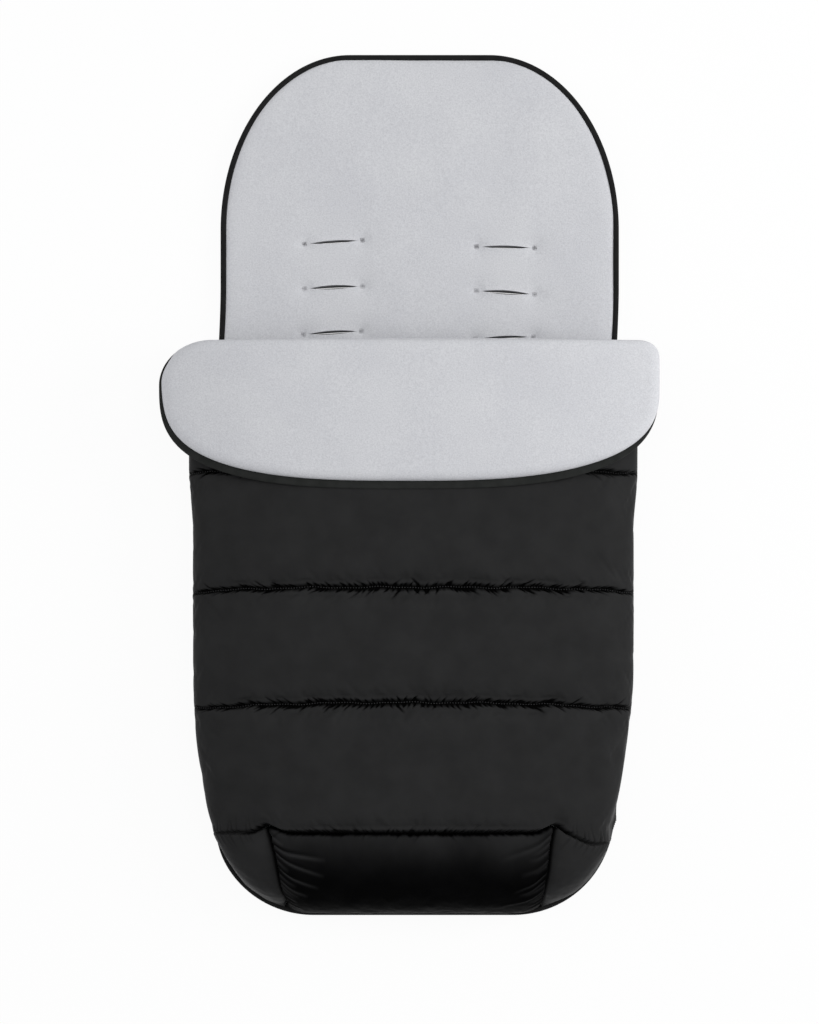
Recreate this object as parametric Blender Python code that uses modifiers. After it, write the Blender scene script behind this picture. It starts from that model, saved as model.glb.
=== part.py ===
"""A stroller footmuff lying on its back: a padded back panel with harness slots, a quilted cover that is
zipped to its sides and sewn round a foot box, and a fleece collar flap folded down over the cover.

Metres, +Z up. The origin is the middle of the footprint on the floor, +Y points to the head end.
"""

import math

import bmesh
import bpy

# Overall sizes
LENGTH = 0.950
BACK_WIDTH = 0.440
COVER_WIDTH = 0.482
COVER_HEIGHT = 0.115
GAP = 0.0003
CUT_OVERRUN = 0.002

# Back panel outline, corners as quarter ellipses
HEAD_CORNER_WIDTH = 0.143
HEAD_CORNER_LENGTH = 0.193
FOOT_CORNER_WIDTH = 0.110
FOOT_BOX_LENGTH = 0.1057
CORNER_STEPS = 8

# Fabric layers
GRIP_THICKNESS = 0.001
SHELL_THICKNESS = 0.0015
LINING_THICKNESS = 0.002
BACK_WADDING_THICKNESS = 0.009
WADDING_EDGE = 0.001
WADDING_ROUNDING = 0.003
BINDING_WIDTH = 0.0062
BINDING_ROUNDING = 0.0025
COVER_WALL = 0.015
FLAP_WALL = 0.013

# Harness slots in the back panel
SLOT_GAPE = 0.0056
SHOULDER_SLOT_LENGTH = 0.056
SHOULDER_SLOT_SPACING = 0.190
SHOULDER_ROW_SPACING = 0.050
TOP_ROW_FROM_HEAD = 0.2096
SHOULDER_ROWS = 3
WAIST_SLOT_LENGTH = 0.045
WAIST_SLOT_SPACING = 0.230
WAIST_SLOT_FROM_HEAD = 0.495
CROTCH_SLOT_LENGTH = 0.045
CROTCH_SLOT_FROM_HEAD = 0.550
ROUND_END_STEPS = 4

# Anti-slip grip panels under the back panel
HEAD_GRIP_WIDTH = 0.240
HEAD_GRIP_LENGTH = 0.110
HEAD_GRIP_FROM_HEAD = 0.050
SEAT_GRIP_WIDTH = 0.340
SEAT_GRIP_LENGTH = 0.290
SEAT_GRIP_FROM_FOOT = 0.060
GRIP_CORNER = 0.020

# Quilted cover, from the foot seam up to the fold of the collar flap
SHIN_CHANNEL_LENGTH = 0.130
KNEE_CHANNEL_LENGTH = 0.124
THIGH_CHANNEL_LENGTH = 0.126
CHEST_CHANNEL_LENGTH = 0.1438
WIDEST_HEIGHT = 0.060
ARCH_POWER = 2.6
BULGE_RISE_SHARE = 0.35
CHANNEL_POWER = 5
CHANNEL_STATION_SHARES = (0, 0.08, 0.25, 0.5, 0.75, 0.92, 1)
CHEST_STATION_SHARES = (0, 0.07, 0.22, 0.5, 0.75, 0.9, 0.955, 0.985, 1)
WALL_SWELL_SHARES = (0, 0, 0.5)
SHOULDER_ANGLE_SHARES = (0, 0.35, 0.7, 1)
CROWN_ANGLE_SHARES = (1 / 3, 2 / 3, 1)

# Foot box
DART_TOP_X = 0.1546
DART_FOOT_X = 0.1434
DART_DEPTH = 0.004
FOOT_STATION_SHARES = (0, 0.12, 0.3, 0.5, 0.75, 1)
FOOT_PINCH_REACH_SHARE = 0.3

# Collar flap
FLAP_OVERHANG = 0.0245
FLAP_DEPTH = 0.161
FLAP_CORNER_WIDTH = 0.046
FLAP_SHOULDER = 0.050
FLAP_POWER = 3
FLAP_DROOP = 0.024
FLAP_DROOP_POWER = 2.6
FLAP_BAND_WIDTH = 0.008
FLAP_BAND_CROWN = 0.001
FLAP_EDGE_POWER = 14
FOLD_ROUND_SHARES = (0, 0.15, 0.5, 1)
FLAP_CORNER_SHARES = (0.3, 0.6, 1)
FLAP_SWEEP_DEGREES = (15, 30, 42, 54, 64, 73, 80)
FLAP_COLUMN_SHARES = (0, 0.25, 0.5, 0.75, 0.93, 1)
BAND_COLUMN_SHARES = (0, 0.5, 1)

# Side zips: one tape stands on each side of the back panel and another hangs from the cover
TAPE_THICKNESS = 0.001
BACK_TAPE_HEIGHT = 0.008
COVER_TAPE_HEIGHT = 0.010
TAPE_OVERLAP = 0.007
CHAIN_WIDTH = 0.0026
CHAIN_GAP = 0.002
STOP_LENGTH = 0.006
STOP_WIDTH = 0.005
SLIDER_LENGTH = 0.012
SLIDER_PLATE = 0.0012
SLIDER_FLANGE = 0.0008
SLIDER_NECK_LENGTH = 0.003
SLIDER_FROM_FOLD = 0.003
EAR_LENGTH = 0.005
EAR_SPACING = 0.0046
PIN_RADIUS = 0.0007
PIN_STANDOFF = 0.0027
PULLER_NECK_LENGTH = 0.0035
PULLER_TAB_LENGTH = 0.028
PULLER_TAB_WIDTH = 0.0068
PULLER_THICKNESS = 0.0016
PULLER_CORNER = 0.002
PULLER_SLOT_LENGTH = 0.008
PULLER_EYE_RIM = 0.0012
ROUND_STEPS = 16

# Smooth shading
SHARP_ANGLE = math.radians(40)

# Places worked out from the sizes above
HEAD_Y = LENGTH / 2
FOOT_Y = -LENGTH / 2
BACK_HALF = BACK_WIDTH / 2
SHELL_Z = GRIP_THICKNESS + GAP
BACK_WADDING_Z = SHELL_Z + SHELL_THICKNESS + GAP
BACK_LINING_Z = BACK_WADDING_Z + BACK_WADDING_THICKNESS + GAP
BACK_TOP_Z = BACK_LINING_Z + LINING_THICKNESS
FOOT_SEAM_Y = FOOT_Y + FOOT_BOX_LENGTH
CHANNEL_LENGTHS = (SHIN_CHANNEL_LENGTH, KNEE_CHANNEL_LENGTH, THIGH_CHANNEL_LENGTH, CHEST_CHANNEL_LENGTH)
SEAMS_Y = [FOOT_SEAM_Y + sum(CHANNEL_LENGTHS[:count]) for count in range(len(CHANNEL_LENGTHS))]
FOLD_Y = FOOT_SEAM_Y + sum(CHANNEL_LENGTHS)
ZIP_X = BACK_HALF - BINDING_WIDTH / 2
BACK_CHAIN_Z = BACK_TOP_Z + GAP + BACK_TAPE_HEIGHT
COVER_CHAIN_Z = BACK_CHAIN_Z + CHAIN_WIDTH + CHAIN_GAP
COVER_TAPE_Z = COVER_CHAIN_Z + CHAIN_WIDTH
COVER_TAPE_TOP_Z = COVER_TAPE_Z + COVER_TAPE_HEIGHT
COVER_EDGE_Z = COVER_TAPE_TOP_Z - TAPE_OVERLAP
PADDING_EDGE_Z = COVER_TAPE_TOP_Z + GAP
FOOT_EDGE_Z = BACK_TOP_Z + GAP
LOW_X = ZIP_X + TAPE_THICKNESS / 2 + GAP + SHELL_THICKNESS
EDGE_WALL = SHELL_THICKNESS + LINING_THICKNESS + WADDING_EDGE + 2 * GAP
SEAM_Z = COVER_HEIGHT - (COVER_WALL - EDGE_WALL)
FLAP_WIDTH = COVER_WIDTH + 2 * FLAP_OVERHANG
FLAP_Z = COVER_HEIGHT + GAP
ARCH_EXPONENT = 2 / ARCH_POWER
DART_ANGLE = math.acos((DART_TOP_X / LOW_X) ** (1 / ARCH_EXPONENT))
ARCH_ANGLES = [share * DART_ANGLE for share in SHOULDER_ANGLE_SHARES]
ARCH_ANGLES += [DART_ANGLE + share * (math.pi / 2 - DART_ANGLE) for share in CROWN_ANGLE_SHARES]
WALL_COLUMNS = len(WALL_SWELL_SHARES)
HALF_COLUMNS = WALL_COLUMNS + len(ARCH_ANGLES)
LAST_COLUMN = 2 * (HALF_COLUMNS - 1)
DART_COLUMN = WALL_COLUMNS + len(SHOULDER_ANGLE_SHARES) - 1
ZIP_FOOT_Y = FOOT_SEAM_Y + STOP_LENGTH + 2 * GAP
SLIDER_Y = FOLD_Y - SLIDER_FROM_FOLD - SLIDER_LENGTH / 2
SLIDER_INSIDE = CHAIN_WIDTH / 2 + GAP
SLIDER_OUTSIDE = SLIDER_INSIDE + SLIDER_PLATE
SLIDER_LOW_Z = BACK_CHAIN_Z - GAP - SLIDER_FLANGE
SLIDER_HIGH_Z = COVER_TAPE_Z + GAP
PIN_X = ZIP_X + SLIDER_OUTSIDE + PIN_STANDOFF
PIN_Z = (SLIDER_LOW_Z + SLIDER_HIGH_Z) / 2


def clear_scene():
    for leftover in list(bpy.data.objects):
        bpy.data.objects.remove(leftover)


def make_collection(name):
    collection = bpy.data.collections.new(name)
    bpy.context.scene.collection.children.link(collection)
    return collection


def make_material(name, colour, roughness, metallic=0.0):
    material = bpy.data.materials.new(name)
    material.use_nodes = True
    shader = material.node_tree.nodes["Principled BSDF"]
    shader.inputs["Base Color"].default_value = (*colour, 1.0)
    shader.inputs["Roughness"].default_value = roughness
    shader.inputs["Metallic"].default_value = metallic
    return material


def add_object(name, shape, material, collection):
    """Turns a bmesh into a named object."""
    mesh = bpy.data.meshes.new(name)
    shape.to_mesh(mesh)
    shape.free()
    mesh.shade_smooth()
    mesh.set_sharp_from_angle(angle=SHARP_ANGLE)
    part = bpy.data.objects.new(name, mesh)
    if material is not None:
        mesh.materials.append(material)
    collection.objects.link(part)
    return part


def make_pivot(name, place, collection):
    """An empty on a joint's axis, which the moving pieces hang from."""
    pivot = bpy.data.objects.new(name, None)
    pivot.location = place
    collection.objects.link(pivot)
    return pivot


def attach(pieces, pivot):
    """Parents pieces to a pivot where they lie."""
    bpy.context.view_layer.update()
    for piece in pieces:
        piece.parent = pivot
        piece.matrix_parent_inverse = pivot.matrix_world.inverted()


# Outlines

def quarter_turn(steps):
    return [math.pi / 2 * step / steps for step in range(steps + 1)]


def panel_outline(inset):
    """The back panel's outline drawn in by an inset, counter-clockwise from its foot."""
    foot = []
    head = []
    for angle in quarter_turn(CORNER_STEPS):
        across, along = math.cos(angle), math.sin(angle)
        foot.append((BACK_HALF - FOOT_CORNER_WIDTH + (FOOT_CORNER_WIDTH - inset) * across,
                     FOOT_SEAM_Y - (FOOT_BOX_LENGTH - inset) * along))
        head.append((BACK_HALF - HEAD_CORNER_WIDTH + (HEAD_CORNER_WIDTH - inset) * across,
                     HEAD_Y - HEAD_CORNER_LENGTH + (HEAD_CORNER_LENGTH - inset) * along))
    right = foot[::-1] + head
    return right + [(-x, y) for x, y in reversed(right)]


def slot_outline(x, y, length, turned):
    """A slit with round ends, across the panel or, turned, along it."""
    points = []
    for side in (1, -1):
        for step in range(2 * ROUND_END_STEPS + 1):
            angle = math.pi * (step / (2 * ROUND_END_STEPS) - 1 / 2)
            along = side * (length / 2 - SLOT_GAPE / 2 + SLOT_GAPE / 2 * math.cos(angle))
            across = side * SLOT_GAPE / 2 * math.sin(angle)
            points.append((x - across, y + along) if turned else (x + along, y + across))
    return points


def rounded_rectangle(x, y, width, length, corner):
    points = []
    for right, up in ((1, -1), (1, 1), (-1, 1), (-1, -1)):
        angles = quarter_turn(ROUND_END_STEPS)
        if right != up:
            angles.reverse()
        for angle in angles:
            points.append((x + right * (width / 2 - corner + corner * math.cos(angle)),
                           y + up * (length / 2 - corner + corner * math.sin(angle))))
    return points


# Helpers that make solids

def plate(name, outlines, low_z, high_z, material, collection, rounding=0.0):
    """A flat piece cut to closed outlines, with rounded edges where asked; later outlines are holes."""
    drawing = bpy.data.curves.new(name, "CURVE")
    drawing.dimensions = "2D"
    drawing.fill_mode = "BOTH"
    drawing.extrude = (high_z - low_z) / 2 - rounding
    drawing.bevel_depth = rounding
    drawing.bevel_resolution = 1
    drawing.offset = -rounding
    for outline in outlines:
        spline = drawing.splines.new("POLY")
        spline.points.add(len(outline) - 1)
        for point, (x, y) in zip(spline.points, outline):
            point.co = (x, y, 0, 1)
        spline.use_cyclic_u = True
    sketch = bpy.data.objects.new(name + "_sketch", drawing)
    collection.objects.link(sketch)
    graph = bpy.context.evaluated_depsgraph_get()
    mesh = bpy.data.meshes.new_from_object(sketch.evaluated_get(graph))
    bpy.data.objects.remove(sketch)
    shape = bmesh.new()
    shape.from_mesh(mesh)
    bpy.data.meshes.remove(mesh)
    bmesh.ops.remove_doubles(shape, verts=shape.verts, dist=GAP / 10)
    bmesh.ops.recalc_face_normals(shape, faces=shape.faces)
    part = add_object(name, shape, material, collection)
    part.location.z = (low_z + high_z) / 2
    return part


def loft(name, nets, material, collection):
    """A closed solid between an outer and an inner net of points, which have the same rows and columns."""
    shape = bmesh.new()
    outer, inner = [[[shape.verts.new(point) for point in row] for row in net] for net in nets]
    last_row, last_column = len(outer) - 1, len(outer[0]) - 1
    for row in range(last_row):
        for column in range(last_column):
            corners = ((row, column), (row, column + 1), (row + 1, column + 1), (row + 1, column))
            shape.faces.new([outer[i][j] for i, j in corners])
            shape.faces.new([inner[i][j] for i, j in corners[:1] + corners[:0:-1]])
    rim = [(0, column) for column in range(last_column)]
    rim += [(row, last_column) for row in range(last_row)]
    rim += [(last_row, column) for column in range(last_column, 0, -1)]
    rim += [(row, 0) for row in range(last_row, 0, -1)]
    for (i, j), (next_i, next_j) in zip(rim, rim[1:] + rim[:1]):
        shape.faces.new((outer[next_i][next_j], outer[i][j], inner[i][j], inner[next_i][next_j]))
    bmesh.ops.triangulate(shape, faces=shape.faces, quad_method="FIXED")
    if shape.calc_volume(signed=True) < 0:
        bmesh.ops.reverse_faces(shape, faces=shape.faces)
    return add_object(name, shape, material, collection)


def block(name, side, x_range, y_range, z_range, material, collection):
    """A box on one side of the footmuff, its x_range counted out from the middle plane."""
    shape = bmesh.new()
    bmesh.ops.create_cube(shape, size=1)
    size = [high - low for low, high in (x_range, y_range, z_range)]
    bmesh.ops.scale(shape, vec=size, verts=shape.verts)
    part = add_object(name, shape, material, collection)
    part.location = (side * sum(x_range) / 2, sum(y_range) / 2, sum(z_range) / 2)
    return part


def upright_cylinder(name, side, x, y, radius, z_range, collection):
    shape = bmesh.new()
    bmesh.ops.create_cone(shape, cap_ends=True, segments=ROUND_STEPS, radius1=radius, radius2=radius,
                          depth=z_range[1] - z_range[0])
    part = add_object(name, shape, None, collection)
    part.location = (side * x, y, sum(z_range) / 2)
    return part


def combine(part, tool, operation):
    tool.hide_render = True
    tool.display_type = "WIRE"
    modifier = part.modifiers.new(operation.lower(), "BOOLEAN")
    modifier.operation = operation
    modifier.object = tool


def mirrored(half):
    """A row across the footmuff from the half row that ends on its middle plane."""
    return half + [(-x, y, z) for x, y, z in reversed(half[:-1])]


def layer_depths(layer, pinch, wall):
    """How deep a layer's two faces lie in a padded wall whose outer face the quilting draws in."""
    if layer == "shell":
        return pinch, pinch + SHELL_THICKNESS
    if layer == "wadding":
        return pinch + SHELL_THICKNESS + GAP, wall - LINING_THICKNESS - GAP
    return wall - LINING_THICKNESS, wall


# Back panel

def slot_outlines():
    outlines = []
    for side in (-1, 1):
        for row in range(SHOULDER_ROWS):
            y = HEAD_Y - TOP_ROW_FROM_HEAD - row * SHOULDER_ROW_SPACING
            outlines.append(slot_outline(side * SHOULDER_SLOT_SPACING / 2, y, SHOULDER_SLOT_LENGTH, False))
        outlines.append(slot_outline(side * WAIST_SLOT_SPACING / 2, HEAD_Y - WAIST_SLOT_FROM_HEAD,
                                     WAIST_SLOT_LENGTH, True))
    outlines.append(slot_outline(0, HEAD_Y - CROTCH_SLOT_FROM_HEAD, CROTCH_SLOT_LENGTH, False))
    return outlines


def make_grip_panels(materials, parts):
    head_y = HEAD_Y - HEAD_GRIP_FROM_HEAD - HEAD_GRIP_LENGTH / 2
    seat_y = FOOT_Y + SEAT_GRIP_FROM_FOOT + SEAT_GRIP_LENGTH / 2
    for name, y, width, length in (
        ("head_grip_panel", head_y, HEAD_GRIP_WIDTH, HEAD_GRIP_LENGTH),
        ("seat_grip_panel", seat_y, SEAT_GRIP_WIDTH, SEAT_GRIP_LENGTH),
    ):
        plate(name, [rounded_rectangle(0, y, width, length, GRIP_CORNER)], 0, GRIP_THICKNESS,
              materials["grip"], parts)


def make_back_panel(materials, parts, tools):
    inner = panel_outline(BINDING_WIDTH + GAP)
    cutter = plate("harness_slot_cutter", slot_outlines(), -CUT_OVERRUN, BACK_TOP_Z + CUT_OVERRUN, None,
                   tools)
    for name, low_z, thickness, rounding, finish in (
        ("back_shell", SHELL_Z, SHELL_THICKNESS, 0, "shell"),
        ("back_wadding", BACK_WADDING_Z, BACK_WADDING_THICKNESS, WADDING_ROUNDING, "wadding"),
        ("back_lining", BACK_LINING_Z, LINING_THICKNESS, 0, "fleece"),
    ):
        layer = plate(name, [inner], low_z, low_z + thickness, materials[finish], parts, rounding)
        combine(layer, cutter, "DIFFERENCE")
    plate("back_binding", [panel_outline(0), panel_outline(BINDING_WIDTH)[::-1]], SHELL_Z, BACK_TOP_Z,
          materials["binding"], parts, BINDING_ROUNDING)


# Quilted cover

def reach_at(y):
    """Half the cover's width at y: it swells from the foot seam on."""
    rise = min((y - FOOT_SEAM_Y) / (FOLD_Y - FOOT_SEAM_Y) / BULGE_RISE_SHARE, 1)
    return LOW_X + (COVER_WIDTH / 2 - LOW_X) * (1 - (1 - rise) ** 2)


def arch_point(column, y, depth, edge_z):
    """A point of the padded arch at y, at a depth under its outer face.

    Column 0 is at the arch's lower edge and column 1 where the padding begins, above the zip tape.
    """
    reach = reach_at(y)
    if column < WALL_COLUMNS:
        z = (edge_z, PADDING_EDGE_Z, (PADDING_EDGE_Z + WIDEST_HEIGHT) / 2)[column]
        rise = max((z - COVER_EDGE_Z) / (WIDEST_HEIGHT - COVER_EDGE_Z), 0)
        return LOW_X + (reach - LOW_X) * math.sin(math.pi / 2 * rise) - depth, y, z
    angle = ARCH_ANGLES[column - WALL_COLUMNS]
    across = abs(math.cos(angle)) ** ARCH_EXPONENT if column < HALF_COLUMNS - 1 else 0
    up = math.sin(angle) ** ARCH_EXPONENT
    return (reach - depth) * across, y, WIDEST_HEIGHT + (COVER_HEIGHT - WIDEST_HEIGHT - depth) * up


def swell_at(column):
    """The share of the wall's padding that a column has: none at the edge, all from the widest point up."""
    return WALL_SWELL_SHARES[column] if column < WALL_COLUMNS else 1


def seam_pull_at(y):
    """How hard the quilting draws the outer face in at y, from 0 in mid channel to 1 on a seam."""
    channel = max(number for number, seam in enumerate(SEAMS_Y) if y >= seam or number == 0)
    share = max((y - SEAMS_Y[channel]) / CHANNEL_LENGTHS[channel], 0)
    if channel == len(SEAMS_Y) - 1 and share > 1 / 2:
        return 0
    return abs(2 * share - 1) ** CHANNEL_POWER


def fold_round_at(y):
    """The share of its thickness that the wall keeps where it is rounded off towards the fold."""
    into_round = max(y - FOLD_Y + COVER_WALL, 0) / COVER_WALL
    return math.sqrt(1 - into_round ** 2)


def cover_nets(layer, stations):
    """The cover's rows; its shell alone reaches down over the zip tape, to column 0."""
    nets = ([], [])
    for y in stations:
        halves = ([], [])
        for column in range(0 if layer == "shell" else 1, HALF_COLUMNS):
            padding = (COVER_WALL - EDGE_WALL) * swell_at(column) * fold_round_at(y)
            depths = layer_depths(layer, padding * seam_pull_at(y), EDGE_WALL + padding)
            for half, depth in zip(halves, depths):
                half.append(arch_point(column, y, depth, COVER_EDGE_Z))
        for net, half in zip(nets, halves):
            net.append(mirrored(half))
    return nets


def channel_stations(channel):
    """Where the rows of a channel lie, half a gap clear of the seams at its ends."""
    shares = CHEST_STATION_SHARES if channel == len(SEAMS_Y) - 1 else CHANNEL_STATION_SHARES
    stations = [SEAMS_Y[channel] + share * CHANNEL_LENGTHS[channel] for share in shares]
    return [stations[0] + GAP / 2] + stations[1:-1] + [stations[-1] - GAP / 2]


def cover_stations():
    """The rows of all channels in one run, with a single row on each seam between two of them."""
    stations = channel_stations(0)[:-1]
    for channel in range(1, len(SEAMS_Y)):
        stations += [SEAMS_Y[channel]] + channel_stations(channel)[1:-1]
    return stations + channel_stations(len(SEAMS_Y) - 1)[-1:]


def make_cover(materials, parts):
    pieces = [
        loft("cover_shell", cover_nets("shell", cover_stations()), materials["shell"], parts),
        loft("cover_lining", cover_nets("lining", cover_stations()), materials["fleece"], parts),
    ]
    for channel, place in enumerate(("shin", "knee", "thigh", "chest")):
        nets = cover_nets("wadding", channel_stations(channel))
        pieces.append(loft(place + "_wadding", nets, materials["wadding"], parts))
    return pieces


# Foot box

def foot_outline_point(column, depth):
    """Where a column of the foot box comes down on the edge of the back panel."""
    inset = BACK_HALF - LOW_X + depth
    centre_x = BACK_HALF - FOOT_CORNER_WIDTH
    width, length = FOOT_CORNER_WIDTH - inset, FOOT_BOX_LENGTH - inset
    dart_turn = math.acos((DART_FOOT_X - centre_x) / FOOT_CORNER_WIDTH)
    if column <= DART_COLUMN:
        turn = dart_turn * (column + 1) / (DART_COLUMN + 1)
        return centre_x + width * math.cos(turn), FOOT_SEAM_Y - length * math.sin(turn)
    to_middle = (HALF_COLUMNS - 1 - column) / (HALF_COLUMNS - 1 - DART_COLUMN)
    x = (centre_x + width * math.cos(dart_turn)) * to_middle
    bend = max((x - centre_x) / width, 0)
    return x, FOOT_SEAM_Y - length * math.sqrt(1 - bend ** 2)


def foot_point(column, share, depth):
    """A point of the foot box, share of the way down from the quilted seam to the back panel."""
    turn = math.pi / 2 * share
    top_x, top_y, top_z = arch_point(column, FOOT_SEAM_Y - GAP / 2, depth, FOOT_EDGE_Z)
    foot_x, foot_y = foot_outline_point(column, depth)
    return (top_x + (foot_x - top_x) * math.sin(turn), top_y + (foot_y - top_y) * math.sin(turn),
            FOOT_EDGE_Z + (top_z - FOOT_EDGE_Z) * math.cos(turn))


def foot_nets(layer):
    """The foot box from right to left, drawn in along the seam to the cover and along its two darts."""
    nets = ([], [])
    for share in FOOT_STATION_SHARES:
        seam_pull = max(1 - share / FOOT_PINCH_REACH_SHARE, 0) ** 2
        halves = ([], [])
        for column in range(HALF_COLUMNS):
            pinch = (COVER_WALL - EDGE_WALL) * swell_at(column) * seam_pull
            if column == DART_COLUMN:
                pinch = max(pinch, DART_DEPTH)
            for half, depth in zip(halves, layer_depths(layer, pinch, COVER_WALL)):
                half.append(foot_point(column, share, depth))
        for net, half in zip(nets, halves):
            net.append(mirrored(half))
    return nets


def columns_of(nets, first, last):
    """The part of both nets between two columns, half a gap clear of the darts."""
    pieces = []
    for net in nets:
        rows = [row[first:last + 1] for row in net]
        for end, column, inwards in ((0, first, -1), (-1, last, 1)):
            if column in (0, LAST_COLUMN):
                continue
            for row in rows:
                x, y, z = row[end]
                row[end] = (x + inwards * GAP / 2, y, z)
        pieces.append(rows)
    return pieces


def make_foot_box(materials, parts):
    nets = foot_nets("shell")
    for name, first_column, last_column in (
        ("right_foot_corner", 0, DART_COLUMN),
        ("foot_panel", DART_COLUMN, LAST_COLUMN - DART_COLUMN),
        ("left_foot_corner", LAST_COLUMN - DART_COLUMN, LAST_COLUMN),
    ):
        loft(name, columns_of(nets, first_column, last_column), materials["shell"], parts)
    loft("foot_wadding", foot_nets("wadding"), materials["wadding"], parts)
    loft("foot_lining", foot_nets("lining"), materials["fleece"], parts)


# Collar flap, folded down on the cover

def flap_edge(inset):
    """Half the flap's edge as (x, distance from the fold), from the fold to the free edge."""
    half = FLAP_WIDTH / 2 - inset
    reaches = [share * FLAP_WALL for share in FOLD_ROUND_SHARES]
    reaches += [FLAP_WALL + share * (FLAP_SHOULDER - FLAP_WALL) for share in FLAP_CORNER_SHARES]
    points = []
    for reach in reaches:
        corner = 1 - math.sqrt(1 - (1 - reach / FLAP_SHOULDER) ** 2)
        points.append((half - FLAP_CORNER_WIDTH * corner, reach))
    for degrees in FLAP_SWEEP_DEGREES:
        across = math.cos(math.radians(degrees)) ** (2 / FLAP_POWER)
        down = math.sin(math.radians(degrees)) ** (2 / FLAP_POWER)
        points.append((half * across, FLAP_SHOULDER + (FLAP_DEPTH - inset - FLAP_SHOULDER) * down))
    return points


def flap_point(x, reach, height):
    """A point of the flap at a height over its underside, which droops over the cover's sides."""
    droop = FLAP_DROOP * abs(x / (FLAP_WIDTH / 2)) ** FLAP_DROOP_POWER
    return x, FOLD_Y - GAP / 2 - reach, FLAP_Z - droop + height


def flap_wall(share_across, reach, last_reach):
    """A cushion's crown: thin at the bound edge, rounded off at the fold."""
    swell = math.sqrt(1 - max(1 - reach / FLAP_WALL, 0) ** 2)
    swell *= 1 - share_across ** FLAP_EDGE_POWER
    swell *= 1 - (reach / last_reach) ** FLAP_EDGE_POWER
    return EDGE_WALL + (FLAP_WALL - EDGE_WALL) * swell


def flap_nets(layer):
    nets = ([], [])
    edge = flap_edge(FLAP_BAND_WIDTH + GAP)
    for half_width, reach in edge:
        halves = ([], [])
        for share in reversed(FLAP_COLUMN_SHARES):
            heights = layer_depths(layer, 0, flap_wall(share, reach, edge[-1][1]))
            for half, height in zip(halves, heights):
                half.append(flap_point(share * half_width, reach, height))
        for net, half in zip(nets, halves):
            net.append(mirrored(half))
    return nets


def band_nets():
    """The band round the flap: rows across its width, from one end of the fold round to the other."""
    nets = ([], [])
    for (outer_x, outer_reach), (inner_x, inner_reach) in zip(flap_edge(0), flap_edge(FLAP_BAND_WIDTH)):
        rows = ([], [])
        for share in BAND_COLUMN_SHARES:
            x = outer_x + share * (inner_x - outer_x)
            reach = outer_reach + share * (inner_reach - outer_reach)
            crown = FLAP_BAND_CROWN * (1 - (2 * share - 1) ** 2)
            for row, height in zip(rows, (0, EDGE_WALL + crown)):
                row.append(flap_point(x, reach, height))
        for net, row in zip(nets, rows):
            net.append(row)
    return [net + [[(-x, y, z) for x, y, z in row] for row in reversed(net)] for net in nets]


def make_flap(materials, parts):
    return [
        loft("flap_shell", flap_nets("shell"), materials["shell"], parts),
        loft("flap_wadding", flap_nets("wadding"), materials["wadding"], parts),
        loft("flap_lining", flap_nets("lining"), materials["fleece"], parts),
        loft("flap_binding", band_nets(), materials["binding"], parts),
    ]


# Side zips

def make_tape(name, side, z_range, chain_z, materials, parts, tools):
    """One half of a zip: a woven tape with its row of teeth as a bead along one edge."""
    y_range = (ZIP_FOOT_Y, FOLD_Y - GAP)
    tape = block(name, side, (ZIP_X - TAPE_THICKNESS / 2, ZIP_X + TAPE_THICKNESS / 2), y_range, z_range,
                 materials["tape"], parts)
    chain = block(name + "_chain", side, (ZIP_X - CHAIN_WIDTH / 2, ZIP_X + CHAIN_WIDTH / 2), y_range,
                  (chain_z, chain_z + CHAIN_WIDTH), None, tools)
    combine(tape, chain, "UNION")
    return tape


def make_slider(name, side, materials, parts, tools):
    """Two plates joined by a neck between the rows of teeth, open above to let the cover's row out."""
    ends = (SLIDER_Y - SLIDER_LENGTH / 2, SLIDER_Y + SLIDER_LENGTH / 2)
    slider = block(name, side, (ZIP_X + SLIDER_INSIDE, ZIP_X + SLIDER_OUTSIDE), ends,
                   (SLIDER_LOW_Z, SLIDER_HIGH_Z), materials["metal"], parts)
    flange_x = TAPE_THICKNESS / 2 + GAP
    middle_x = (SLIDER_INSIDE + SLIDER_OUTSIDE) / 2
    flange_z = (SLIDER_LOW_Z, SLIDER_LOW_Z + SLIDER_FLANGE)
    neck_z = BACK_CHAIN_Z + CHAIN_WIDTH + GAP
    ear_y = (SLIDER_Y - EAR_LENGTH / 2, SLIDER_Y + EAR_LENGTH / 2)
    pieces = [
        ("plate", (ZIP_X - SLIDER_OUTSIDE, ZIP_X - SLIDER_INSIDE), ends, (SLIDER_LOW_Z, SLIDER_HIGH_Z)),
        ("inner_flange", (ZIP_X - middle_x, ZIP_X - flange_x), ends, flange_z),
        ("outer_flange", (ZIP_X + flange_x, ZIP_X + middle_x), ends, flange_z),
        ("neck", (ZIP_X - middle_x, ZIP_X + middle_x), (ends[1] - SLIDER_NECK_LENGTH, ends[1]),
         (neck_z, neck_z + CHAIN_GAP - 2 * GAP)),
    ]
    for ear, z in (("lower_ear", PIN_Z - EAR_SPACING / 2), ("upper_ear", PIN_Z + EAR_SPACING / 2)):
        pieces.append((ear, (ZIP_X + middle_x, PIN_X + 2 * PIN_RADIUS), ear_y,
                       (z - SLIDER_FLANGE / 2, z + SLIDER_FLANGE / 2)))
    for piece, x_range, y_range, z_range in pieces:
        combine(slider, block(f"{name}_{piece}", side, x_range, y_range, z_range, None, tools), "UNION")
    pin = upright_cylinder(name + "_pin", side, PIN_X, SLIDER_Y, PIN_RADIUS,
                           (PIN_Z - EAR_SPACING / 2, PIN_Z + EAR_SPACING / 2), tools)
    combine(slider, pin, "UNION")
    return slider


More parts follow.
